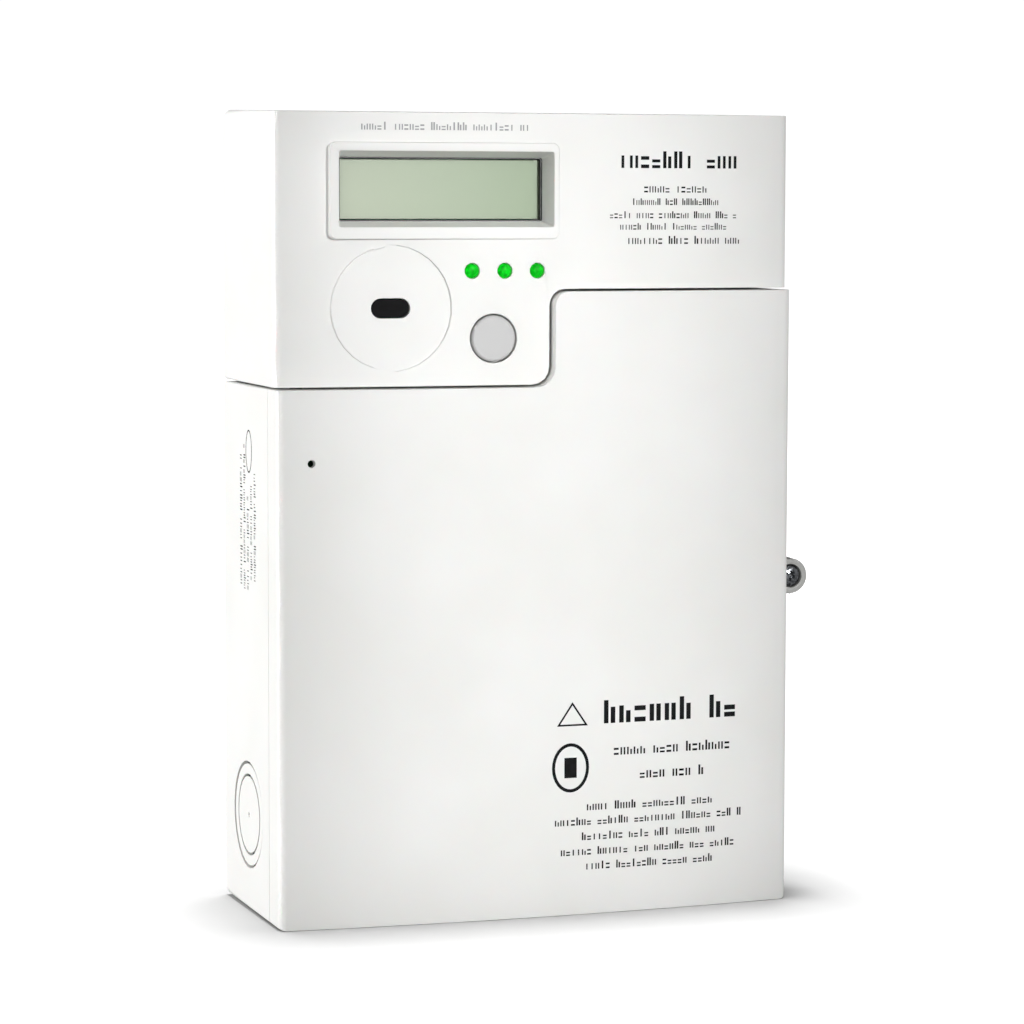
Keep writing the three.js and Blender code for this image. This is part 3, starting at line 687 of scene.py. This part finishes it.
# A black window that shows neither gloss nor depth face on.
DARK_LENS = TintedLens(
    "infrared_filter_lens",
    "infrared_window",
    "#0c0c0e",
    "#080809",
    0.4,
    grain_mm=3.0,
    coat=0.0,
    ior=1.12,
)
# Only its glance shows: the display is seen straight through it.
PANE = ClearPane("clear_polycarbonate_pane", "clear_window")
# The grey-green of an unlit display, with painted light on the left and painted shade on the
# right.
CELL = ReflectiveCell("reflective_display_cell", "lcd_glass")
# Green varnish with fine lighter tracks under it.
BOARD = SolderMask("green_solder_mask", "circuit_board")
# Dense black that stays matt under the lamps.
BLACK_INK = PrintedInk("black_pad_print", "black_plastic")
# Thin grey print that stands back from the white.
GREY_INK = PrintedInk("grey_pad_print", "grey_plastic", "#a3a3a4", "#adadae")
# White sheet: it shows nearly white and gives a soft grey contact shadow.
PAPER = StudioPaper("studio_paper", "")

FINISH_OF_SLOT = {
    finish.slot: finish
    for finish in (
        WHITE_SHELL,
        GREY_PLASTIC,
        BLACK_PLASTIC,
        GREEN_PLASTIC,
        RED_PLASTIC,
        BLUE_PLASTIC,
        DIFFUSER,
        VARNISH,
        CORE,
        STEEL,
        BRASS,
        GREEN_LENS,
        DARK_LENS,
        PANE,
        CELL,
        BOARD,
    )
}


# ------------------------------------------------------------------ mesh helpers


def finish_object(
    mesh: bmesh.types.BMesh, name: str, finish: Finish, crease_deg: float = 32.0
) -> bpy.types.Object:
    """Turns a bmesh into a dressed object with sharp edges kept and the rest smooth.

    Args:
        mesh: The piece, in metres, in the row frame. It is freed.
        name: The object's name.
        finish: The finish that it wears.
        crease_deg: Edges that turn more than this stay sharp.

    Returns:
        The new object.
    """
    limit = math.radians(crease_deg)
    for face in mesh.faces:
        face.smooth = True
    for edge in mesh.edges:
        edge.smooth = len(edge.link_faces) == 2 and edge.calc_face_angle(0.0) < limit
    data = bpy.data.meshes.new(name)
    mesh.to_mesh(data)
    mesh.free()
    made = bpy.data.objects.new(name, data)
    bpy.context.scene.collection.objects.link(made)
    data.materials.append(finish.material())
    return made


def weigh_normals(piece: bpy.types.Object) -> None:
    """Lets the large faces of a piece set its shading, so that its small bevels stay small.

    Args:
        piece: The piece that gets the modifier.
    """
    weigh = piece.modifiers.new("weighted_normals", "WEIGHTED_NORMAL")
    weigh.keep_sharp = True
    weigh.weight = 100


def mount(piece: bpy.types.Object, body: str, finish: Finish, *nodes: str) -> bpy.types.Object:
    """Rides a piece on its body, in place of its CAD nodes.

    Args:
        piece: The finished piece.
        body: The body that it moves with.
        finish: Not used.
        nodes: The CAD nodes that it stands for.

    Returns:
        The piece.
    """
    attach(piece, body)
    if nodes:
        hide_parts(*nodes)
    LOG.info("piece %s rides on %s", piece.name, body)
    return piece


@dataclass(frozen=True)
class Rounding:
    """How wide and how finely the sharp edges of a moulding are rounded."""

    width_mm: float
    segments: int = 2
    turn_deg: float = 38.0
    merge_mm: float = 0.02

    def apply(self, mesh: bmesh.types.BMesh) -> None:
        """Merges a mesh's points and rounds its sharp edges.

        Args:
            mesh: The mesh to change.
        """
        bmesh.ops.remove_doubles(mesh, verts=mesh.verts, dist=self.merge_mm * MM)
        limit = math.radians(self.turn_deg)
        edges = [
            edge
            for edge in mesh.edges
            if len(edge.link_faces) == 2 and edge.calc_face_angle(0.0) > limit
        ]
        bmesh.ops.bevel(
            mesh,
            geom=edges,
            offset=self.width_mm * MM,
            offset_type="OFFSET",
            segments=self.segments,
            profile=0.5,
            affect="EDGES",
            clamp_overlap=False,
            material=-1,
        )


def mould(name: str, body: str, finish: Finish, rounding: Rounding) -> bpy.types.Object:
    """Puts a softly rounded moulding in the place of a CAD node.

    Args:
        name: The CAD node.
        body: The body that it moves with.
        finish: The finish that it wears.
        rounding: How its edges are rounded.

    Returns:
        The new piece.
    """
    mesh = bmesh.new()
    mesh.from_mesh(bpy.data.objects[name].data)
    rounding.apply(mesh)
    piece = finish_object(mesh, f"{name}_moulded", finish)
    weigh_normals(piece)
    return mount(piece, body, finish, name)


class Face(Enum):
    """The way a printed mark faces, as the direction that looks at it."""

    FRONT = (0.0, 1.0, 0.0)
    LEFT = (1.0, 0.0, 0.0)


@dataclass
class Skin:
    """The outer skin of a CAD node, on which prints are laid."""

    node: str
    face: Face = Face.FRONT
    tree: BVHTree = field(init=False)

    def __post_init__(self) -> None:
        """Builds the search tree over the node's triangles."""
        mesh = bmesh.new()
        mesh.from_mesh(bpy.data.objects[self.node].data)
        self.tree = BVHTree.FromBMesh(mesh)
        mesh.free()

    def point(self, across: float, up: float, lift: float) -> Vector:
        """The point of the skin at a place, lifted off it.

        Args:
            across: X on the front, Y on a side, in metres.
            up: Z in metres.
            lift: How far to stand off, in metres.

        Returns:
            The point.
        """
        look = Vector(self.face.value)
        front = self.face is Face.FRONT
        flat = Vector((across, 0.0, up)) if front else Vector((0.0, across, up))
        hit, normal, _, _ = self.tree.ray_cast(flat - look, look)
        return flat if hit is None else hit + normal * lift


# ------------------------------------------------------------------ printed marks


@dataclass(frozen=True)
class MarkLine:
    """One line of marks: its centre, its base line, its width and its height, in millimetres."""

    centre: float
    low: float
    width: float
    height: float


@dataclass
class PrintedMarks:
    """Plain placeholder marks where the meter carries print: word-like blocks and simple signs."""

    skin: Skin
    lift_mm: float = 0.03
    seed: int = 7
    weight: float = 0.16
    upward: bool = False
    origin: Vector = field(default_factory=lambda: Vector((0.0, 0.0)))
    pitch_share: float = 0.7
    mark_share: float = 0.74
    low_share: float = 0.74
    short_stem: float = 0.7
    bar_height: float = 0.7
    widest_stroke: float = 0.4
    mesh: bmesh.types.BMesh = field(init=False)
    chance: random.Random = field(init=False)

    def __post_init__(self) -> None:
        """Starts an empty print."""
        self.mesh = bmesh.new()
        self.chance = random.Random(self.seed)

    def place(self, across: float, up: float) -> Vector:
        """The point of the skin under a place on the print.

        Args:
            across: Along the line of print, in millimetres.
            up: Across the line of print, in millimetres.

        Returns:
            The point, in metres.
        """
        if self.upward:
            across, up = self.origin.x - up, self.origin.y + across
        return self.skin.point(across * MM, up * MM, self.lift_mm * MM)

    def block(self, left: float, low: float, width: float, height: float) -> None:
        """Prints one small block.

        Args:
            left: Its left edge, in millimetres.
            low: Its lower edge, in millimetres.
            width: Its width, in millimetres.
            height: Its height, in millimetres.
        """
        grid = bmesh.ops.create_grid(self.mesh, x_segments=1, y_segments=1, size=0.5)
        for vert in grid["verts"]:
            across = left + (vert.co.x + 0.5) * width
            vert.co = self.place(across, low + (vert.co.y + 0.5) * height)

    def cell(self, left: float, low: float, width: float, height: float) -> None:
        """Prints one small mark: two stems, two bars, one stem or a block.

        Args:
            left: Its left edge, in millimetres.
            low: Its lower edge, in millimetres.
            width: Its width, in millimetres.
            height: Its height, in millimetres.
        """
        stroke = min(width * self.widest_stroke, height * self.weight)
        kind = self.chance.choices(("stems", "bars", "stem"), (6, 3, 2))[0]
        if kind == "stems":
            self.block(left, low, stroke, height)
            second = height * self.chance.choice((1.0, self.short_stem))
            self.block(left + width - stroke, low, stroke, second)
        elif kind == "bars":
            self.block(left, low, width, stroke)
            self.block(left, low + height * self.bar_height - stroke, width, stroke)
        else:
            self.block(left + width / 2 - stroke / 2, low, stroke, height)

    def line(self, row: MarkLine) -> None:
        """Prints a line of word-like groups of marks, centred on a place.

        Args:
            row: Where the line stands and how large it is.
        """
        count = max(2, round(row.width / (self.pitch_share * row.height)))
        word = self.chance.randint(4, 8)
        left = row.centre - row.width / 2
        step = row.width / count
        for index in range(count):
            word -= 1
            if word < 0 and index < count - 1:
                word = self.chance.randint(3, 8)
                continue
            tall = row.height * self.chance.choice((1.0, self.low_share, self.low_share))
            self.cell(left + index * step, row.low, step * self.mark_share, tall)

    def lines(self, rows: tuple[MarkLine, ...]) -> None:
        """Prints several lines, from the first to the last.

        Args:
            rows: The lines.
        """
        for row in rows:
            self.line(row)

    def outline(self, centre: Vector, reach: Vector, sides: int, band: float) -> None:
        """Prints the outline of a plain regular shape.

        Args:
            centre: Its centre across and up, in millimetres.
            reach: Half its width and half its height, in millimetres.
            sides: Its number of sides.
            band: The width of the outline, in millimetres.
        """
        sign = bmesh.new()
        ring = bmesh.ops.create_circle(sign, cap_ends=True, segments=sides, radius=1.0)["verts"]
        wide = max(abs(vert.co.x) for vert in ring)
        tall = max(vert.co.y for vert in ring)
        bmesh.ops.scale(sign, verts=ring, vec=Vector((reach.x / wide, reach.y / tall, 1.0)))
        filled = list(sign.faces)
        bmesh.ops.inset_individual(sign, faces=filled, thickness=band, use_even_offset=True)
        bmesh.ops.delete(sign, geom=filled, context="FACES")
        for vert in sign.verts:
            vert.co = self.place(centre.x + vert.co.x, centre.y + vert.co.y)
        data = bpy.data.meshes.new("sign")
        sign.to_mesh(data)
        sign.free()
        self.mesh.from_mesh(data)
        bpy.data.meshes.remove(data)

    def finish(self, name: str, finish: Finish, body: str) -> bpy.types.Object:
        """Turns the marks into a piece.

        Args:
            name: The piece's name.
            finish: The ink.
            body: The body that carries it.

        Returns:
            The piece.
        """
        look = Vector(self.skin.face.value)
        self.mesh.normal_update()
        inward = [face for face in self.mesh.faces if face.normal.dot(look) > 0]
        bmesh.ops.reverse_faces(self.mesh, faces=inward)
        piece = finish_object(self.mesh, name, finish)
        return mount(piece, body, finish)


# ------------------------------------------------------------------ sub-assemblies


@dataclass(frozen=True)
class ScrewLook:
    """A turned screw with a rounded crown, a thread and a recess for the driver."""

    height_mm: float
    shank_mm: float
    crossed: bool = True
    crown_share: float = 0.42
    crown_steps: int = 6
    chamfer_mm: float = 0.1
    pitch_mm: float = 0.6
    runout_mm: float = 0.3
    root_share: float = 0.86
    tip_share: float = 0.7
    turned_steps: int = 24
    crease_deg: float = 40.0
    merge_mm: float = 0.002
    cross_reach: float = 0.58
    slot_reach: float = 1.2
    recess_breadth: float = 0.17
    recess_depth: float = 0.62
    recess_taper: float = 0.62
    recess_turn: float = 0.35

    def profile(self, head: float, front: float, back: float) -> list[Vector]:
        """Half the outline of the screw, from the top of its head to its tip.

        Args:
            head: The radius of its head, in metres.
            front: The height of the top of the head along its axis.
            back: The height of its tip.

        Returns:
            The points, beside the Z axis.
        """
        height, shank = self.height_mm * MM, self.shank_mm * MM
        chamfer, pitch, runout = self.chamfer_mm * MM, self.pitch_mm * MM, self.runout_mm * MM
        crown = height * self.crown_share
        points = [Vector((0.0, 0.0, front))]
        for step in range(1, self.crown_steps + 1):
            angle = math.pi / 2 * step / self.crown_steps
            fall = crown * (1 - math.cos(angle))
            points.append(Vector((head * math.sin(angle), 0.0, front - fall)))
        neck = front - height
        points += [
            Vector((head, 0.0, neck + chamfer)),
            Vector((head - chamfer, 0.0, neck)),
            Vector((shank, 0.0, neck)),
        ]
        threads = max(1, int((neck - back - 2 * runout) / pitch))
        for index in range(threads):
            level = neck - runout - index * pitch
            points.append(Vector((shank * self.root_share, 0.0, level)))
            points.append(Vector((shank, 0.0, level - pitch / 2)))
        points += [Vector((shank * self.tip_share, 0.0, back)), Vector((0.0, 0.0, back))]
        return points

    def build(self, node: str, body: str, finish: Finish) -> bpy.types.Object:
        """Models the screw in the place of a CAD node whose axis runs along Y.

        Args:
            node: The CAD node.
            body: The body that it rides on.
            finish: Its finish.

        Returns:
            The piece.
        """
        low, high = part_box(node)
        centre = (low + high) / 2
        front, back = -low.y, -high.y
        head = (high.x - low.x) / 2
        mesh = bmesh.new()
        verts = [mesh.verts.new(point) for point in self.profile(head, front, back)]
        edges = [mesh.edges.new(pair) for pair in zip(verts, verts[1:])]
        bmesh.ops.spin(
            mesh,
            geom=verts + edges,
            cent=(0, 0, 0),
            axis=(0, 0, 1),
            angle=2 * math.pi,
            steps=self.turned_steps,
            use_merge=True,
        )
        bmesh.ops.remove_doubles(mesh, verts=mesh.verts, dist=self.merge_mm * MM)
        bmesh.ops.recalc_face_normals(mesh, faces=mesh.faces)
        forward = Matrix.Rotation(math.pi / 2, 3, "X")
        bmesh.ops.rotate(mesh, verts=mesh.verts, cent=(0, 0, 0), matrix=forward)
        bmesh.ops.translate(mesh, verts=mesh.verts, vec=Vector((centre.x, 0.0, centre.z)))
        piece = finish_object(mesh, f"{node}_turned", finish, self.crease_deg)
        self.recess(piece, centre, -front, head)
        return mount(piece, body, finish, node)

    def recess(self, piece: bpy.types.Object, centre: Vector, face: float, head: float) -> None:
        """Cuts the driver's recess into the head.

        Args:
            piece: The screw.
            centre: The middle of the screw.
            face: The Y of the top of its head.
            head: The radius of its head.
        """
        cutter = bmesh.new()
        reach = head * (self.cross_reach if self.crossed else self.slot_reach)
        breadth = head * self.recess_breadth
        depth = self.height_mm * MM * self.recess_depth
        for turn in (0.0, math.pi / 2) if self.crossed else (0.0,):
            made = bmesh.ops.create_cube(cutter, size=2.0)["verts"]
            for vert in made:
                inward = vert.co.y > 0
                taper = self.recess_taper if inward and self.crossed else 1.0
                across = vert.co.x * reach * taper
                vert.co = Vector((across, depth if inward else -depth, vert.co.z * breadth))
            spin = Matrix.Rotation(turn + self.recess_turn, 3, "Y")
            bmesh.ops.rotate(cutter, verts=made, cent=(0, 0, 0), matrix=spin)
        bmesh.ops.translate(cutter, verts=cutter.verts, vec=Vector((centre.x, face, centre.z)))
        carve(piece, cutter)


def carve(piece: bpy.types.Object, cutter: bmesh.types.BMesh) -> None:
    """Cuts a closed shape out of a piece and leaves plain mesh behind.

    Args:
        piece: The piece to cut.
        cutter: The shape to take away. It is freed.
    """
    data = bpy.data.meshes.new("cutter")
    cutter.to_mesh(data)
    cutter.free()
    tool = bpy.data.objects.new("cutter", data)
    bpy.context.scene.collection.objects.link(tool)
    boolean = piece.modifiers.new("carve", "BOOLEAN")
    boolean.operation = "DIFFERENCE"
    boolean.solver = "EXACT"
    boolean.use_self = True
    boolean.object = tool
    bpy.context.view_layer.update()
    graph = bpy.context.evaluated_depsgraph_get()
    carved = bpy.data.meshes.new_from_object(piece.evaluated_get(graph))
    piece.modifiers.remove(boolean)
    piece.data = carved
    bpy.data.objects.remove(tool)


@dataclass(frozen=True)
class Module:
    """The plug-in meter module: case, display, optical port, lamps, button and electronics."""

    body: str = "meter_module"
    case_round: Rounding = Rounding(0.18)
    button_round: Rounding = Rounding(0.22, 3)
    small_round: Rounding = Rounding(0.15)
    cover_screw: ScrewLook = ScrewLook(1.5, 1.2)
    lug_screw: ScrewLook = ScrewLook(2.2, 1.9)
    cover_screws: int = 4
    header: MarkLine = MarkLine(-26.4, 103.8, 47.0, 2.1)
    title: MarkLine = MarkLine(40.5, 94.0, 36.0, 4.6)
    rating: tuple[MarkLine, ...] = (
        MarkLine(39.5, 87.4, 19.0, 2.3),
        MarkLine(39.5, 84.0, 26.0, 1.8),
        MarkLine(39.0, 80.4, 38.0, 1.9),
        MarkLine(39.0, 77.3, 32.0, 1.8),
        MarkLine(42.0, 73.4, 34.0, 2.2),
    )

    def build(self) -> None:
        """Builds the module's finished pieces."""
        mould("module_case", self.body, WHITE_SHELL, self.case_round)
        mould("demand_button", "demand_button", GREY_PLASTIC, self.button_round)
        mould("module_rear_cover", self.body, WHITE_SHELL, self.small_round)
        mould("module_plug", self.body, BLACK_PLASTIC, self.small_round)
        for number in range(1, self.cover_screws + 1):
            self.cover_screw.build(f"rear_cover_screw_{number}", self.body, STEEL)
        for side in ("left", "right"):
            self.lug_screw.build(f"module_screw_{side}", self.body, STEEL)
        self.prints()

    def prints(self) -> None:
        """The header line and the rating block, as plain marks."""
        header = PrintedMarks(Skin("module_case"), seed=3, weight=0.22)
        header.line(self.header)
        header.finish("header_marks", GREY_INK, self.body)
        rating = PrintedMarks(Skin("module_case"), seed=11, weight=0.24)
        rating.line(self.title)
        rating.weight = 0.2
        rating.lines(self.rating)
        rating.finish("rating_marks", BLACK_INK, self.body)


@dataclass(frozen=True)
class Cover:
    """The L-shaped terminal cover with its screw."""

    body: str = "terminal_cover"
    edge_round: Rounding = Rounding(0.22)
    # Faces right of this X form the screw's boss, which gets a painted shade.
    boss_from_mm: float = 74.0
    seal_screw: ScrewLook = ScrewLook(2.0, 1.75)
    title: MarkLine = MarkLine(38.0, -57.4, 40.6, 6.4)
    notice: tuple[MarkLine, ...] = (
        MarkLine(38.3, -66.3, 35.3, 2.8),
        MarkLine(38.2, -73.1, 19.6, 2.8),
        MarkLine(31.7, -81.2, 37.8, 2.3),
        MarkLine(31.5, -85.2, 56.0, 2.2),
        MarkLine(31.4, -89.4, 40.1, 2.2),
        MarkLine(31.3, -93.5, 52.1, 2.2),
        MarkLine(31.5, -97.6, 38.4, 2.2),
    )

    def build(self) -> None:
        """Builds the cover's finished pieces."""
        piece = mould("terminal_cover", self.body, WHITE_SHELL, self.edge_round)
        # Painted shade: the boss's faces get a mid grey that stands in for the shade behind the
        # cover.
        piece.data.materials.append(PAINTED_SHADE_BOSS.material())
        for face in piece.data.polygons:
            if face.center.x > self.boss_from_mm * MM:
                face.material_index = 1
        self.seal_screw.build("seal_screw", "seal_screw", SEAL_SCREW_PAINTED_SHADE_STEEL)
        self.prints()

    def prints(self) -> None:
        """The notice block, as plain marks."""
        marks = PrintedMarks(Skin("terminal_cover"), seed=23, weight=0.3)
        marks.line(self.title)
        marks.outline(Vector((8.5, -55.5)), Vector((4.5, 4.4)), 3, 0.5)
        marks.outline(Vector((8.0, -69.2)), Vector((5.4, 6.8)), 32, 0.9)
        marks.block(6.2, -72.0, 3.6, 5.6)
        marks.weight = 0.24
        marks.lines(self.notice)
        marks.finish("notice_marks", BLACK_INK, self.body)


@dataclass(frozen=True)
class Base:
    """The wall base with its knockout, terminals, switches and socket."""

    body: str = "wall_base"
    edge_round: Rounding = Rounding(0.2)
    fitting_round: Rounding = Rounding(0.15)
    knob_round: Rounding = Rounding(0.2, 3)
    board_screw: ScrewLook = ScrewLook(1.5, 1.2)
    pole_screw: ScrewLook = ScrewLook(1.5, 1.5, False)
    board_screws: int = 4
    voltage_poles: int = 3
    side_oval: Vector = field(default_factory=lambda: Vector((-26.0, 17.0)))
    # Each line runs upwards: its centre is a height and its base line a depth.
    side_label: tuple[MarkLine, ...] = (
        MarkLine(-2.0, -17.0, 36.0, 2.2),
        MarkLine(-1.0, -20.5, 40.0, 2.0),
        MarkLine(-8.0, -24.0, 26.0, 2.2),
        MarkLine(-5.0, -27.5, 26.0, 2.0),
        MarkLine(-3.0, -31.0, 30.0, 2.0),
    )

    def build(self) -> None:
        """Builds the base's finished pieces."""
        mould("base_housing", self.body, WHITE_SHELL, self.edge_round)
        self.fittings()
        self.prints()

    def fittings(self) -> None:
        """The terminal blocks, switches and socket with softened edges, and every screw."""
        for name, finish in (
            ("voltage_terminal_block", GREEN_PLASTIC),
            ("ct_terminal_block", GREY_PLASTIC),
            ("module_socket", BLACK_PLASTIC),
            ("ct_switch_body_a", BLACK_PLASTIC),
            ("ct_switch_body_b", BLACK_PLASTIC),
        ):
            mould(name, self.body, finish, self.fitting_round)
        for name in ("ct_switch_knob_a", "ct_switch_knob_b"):
            mould(name, name, RED_PLASTIC, self.knob_round)
        for number in range(1, self.board_screws + 1):
            self.board_screw.build(f"board_screw_{number}", self.body, STEEL)
            self.pole_screw.build(f"ct_screw_{number}", self.body, STEEL)
        for number in range(1, self.voltage_poles + 1):
            self.pole_screw.build(f"voltage_screw_{number}", self.body, STEEL)

    def prints(self) -> None:
        """Lines of plain marks that run up the left wall, under an oval outline."""
        marks = PrintedMarks(Skin("base_housing", Face.LEFT), seed=41, upward=True)
        for row in self.side_label:
            marks.origin = Vector((row.low, row.centre))
            marks.line(MarkLine(0.0, 0.0, row.width, row.height))
        marks.origin = self.side_oval
        marks.outline(Vector((0.0, 0.0)), Vector((5.9, 3.1)), 40, 0.4)
        marks.finish("side_marks", BLACK_INK, self.body)


# ------------------------------------------------------------------ studio


@dataclass(frozen=True)
class Lamp:
    """One soft rectangular light, with its place, its aim and its size in metres."""

    name: str
    place: tuple[float, float, float]
    aim: tuple[float, float, float]
    size: tuple[float, float]
    watts: float
    spread_deg: float = 180.0

    def hang(self) -> bpy.types.Object:
        """Adds the light to the scene and returns its object."""
        data = bpy.data.lights.new(self.name, "AREA")
        data.shape = "RECTANGLE"
        data.size, data.size_y = self.size
        data.energy = self.watts
        data.spread = math.radians(self.spread_deg)
        light = bpy.data.objects.new(self.name, data)
        bpy.context.scene.collection.objects.link(light)
        turn = (Vector(self.aim) - Vector(self.place)).to_track_quat("-Z", "Y")
        light.matrix_world = Matrix.Translation(self.place) @ turn.to_matrix().to_4x4()
        return light


# Washes the left wall nearly white.
LEFT_SOFTBOX = Lamp("left_softbox", (-1.5, 0.22, 0.25), (-0.07, -0.03, 0.0), (0.8, 0.8), 23.6)
# Its narrow grid makes the front fall off towards both sides.
FRONT_PANEL = Lamp(
    "front_panel", (0.36, -1.4, 0.22), (0.0, -0.05, 0.0), (0.162, 0.285), 0.091, 6.0
)
# Fills the front from the left.
LEFT_CARD = Lamp("left_card", (-0.75, -1.1, -0.04), (0.0, 0.0, 0.03), (0.5, 0.5), 1.7)
# Falls on the paper only, for the soft shadow at the foot of the meter.
TOP_SOFTBOX = Lamp("top_softbox", (0.0, 0.1, 3.0), (0.0, 0.0, -0.11), (0.62, 0.62), 150.0)


@dataclass
class Studio:
    """The pale floor, the soft lights and the camera."""

    floor_z: float
    eye: Vector = field(default_factory=lambda: Vector((-0.3174, -0.9622, 0.0854)))
    yaw_deg: float = 18.833
    pitch_deg: float = -5.025
    roll_deg: float = 0.122
    lens_mm: float = 124.93
    sensor_mm: float = 36.0
    ambient: float = 0.36
    backdrop: float = 1.05
    paper_reach: float = 4.0
    paper_gap_mm: float = 0.02
    paper: bpy.types.Object | None = None

    def build(self) -> None:
        """Builds the studio."""
        self.camera()
        self.floor()
        self.lights()

    def camera(self) -> None:
        """A long lens, low and to the left of the meter."""
        data = bpy.data.cameras.new("camera")
        data.lens = self.lens_mm
        data.sensor_width = self.sensor_mm
        camera = bpy.data.objects.new("camera", data)
        bpy.context.scene.collection.objects.link(camera)
        turn = (
            Matrix.Rotation(-math.radians(self.yaw_deg), 4, "Z")
            @ Matrix.Rotation(math.pi / 2 + math.radians(self.pitch_deg), 4, "X")
            @ Matrix.Rotation(math.radians(self.roll_deg), 4, "Z")
        )
        camera.matrix_world = Matrix.Translation(self.eye) @ turn
        bpy.context.scene.camera = camera

    def floor(self) -> None:
        """One wide sheet of white paper."""
        mesh = bmesh.new()
        bmesh.ops.create_grid(mesh, x_segments=1, y_segments=1, size=self.paper_reach)
        level = self.floor_z - self.paper_gap_mm * MM
        bmesh.ops.translate(mesh, verts=mesh.verts, vec=Vector((0.0, 0.0, level)))
        self.paper = finish_object(mesh, "studio_floor", PAPER)
        self.paper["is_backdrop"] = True

    def lights(self) -> None:
        """A gridded panel in front, a side light on the left, a top light and a soft surround."""
        self.surround()
        for_meter = [lamp.hang() for lamp in (LEFT_SOFTBOX, FRONT_PANEL, LEFT_CARD)]
        for_paper = [TOP_SOFTBOX.hang()]
        self.receive("paper_only", for_paper, [self.paper])
        self.receive("meter_only", for_meter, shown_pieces())
        view = bpy.context.scene.view_settings
        view.view_transform = "Standard"
        view.look = "None"

    def receive(
        self, name: str, lights: list[bpy.types.Object], lit: list[bpy.types.Object]
    ) -> None:
        """Lets some lights fall on some pieces only.

        Args:
            name: The name of the collection that holds the pieces.
            lights: The lights.
            lit: The pieces that they light.
        """
        receivers = bpy.data.collections.new(name)
        for piece in lit:
            receivers.objects.link(piece)
        for light in lights:
            light.light_linking.receiver_collection = receivers

    def surround(self) -> None:
        """A white backdrop that lights the meter more gently than it shows."""
        world = bpy.data.worlds.new("surround")
        bpy.context.scene.world = world
        world.use_nodes = True
        tree = world.node_tree
        tree.nodes.clear()
        seen = add_node(tree, "ShaderNodeLightPath")
        level = add_node(
            tree,
            "ShaderNodeMapRange",
            {"Value": seen.outputs["Is Camera Ray"]},
            inputs={"To Min": self.ambient, "To Max": self.backdrop},
        )
        back = add_node(
            tree,
            "ShaderNodeBackground",
            {"Strength": level.outputs["Result"]},
            inputs={"Color": linear("#ffffff")},
        )
        add_node(tree, "ShaderNodeOutputWorld", {"Surface": back.outputs["Background"]})


# ------------------------------------------------------------------ assembly


def dress(nodes: dict, record: dict) -> None:
    """Gives every CAD node the finish of its record slot.

    Args:
        nodes: Node name to object.
        record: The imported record.
    """
    for entry in record["subparts"]:
        piece = nodes[entry["node"]]
        finish = FINISH_OF_SLOT[entry["material_slot"]]
        piece.data.materials.clear()
        piece.data.materials.append(finish.material())


def main() -> None:
    """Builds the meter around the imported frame."""
    logging.basicConfig(level=logging.INFO, format="%(name)s: %(message)s")
    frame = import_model()
    cad_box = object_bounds()
    dress(frame["nodes"], frame["record"])
    Base().build()
    Module().build()
    Cover().build()
    Studio(cad_box[0][2]).build()


if __name__ == "__main__":
    main()
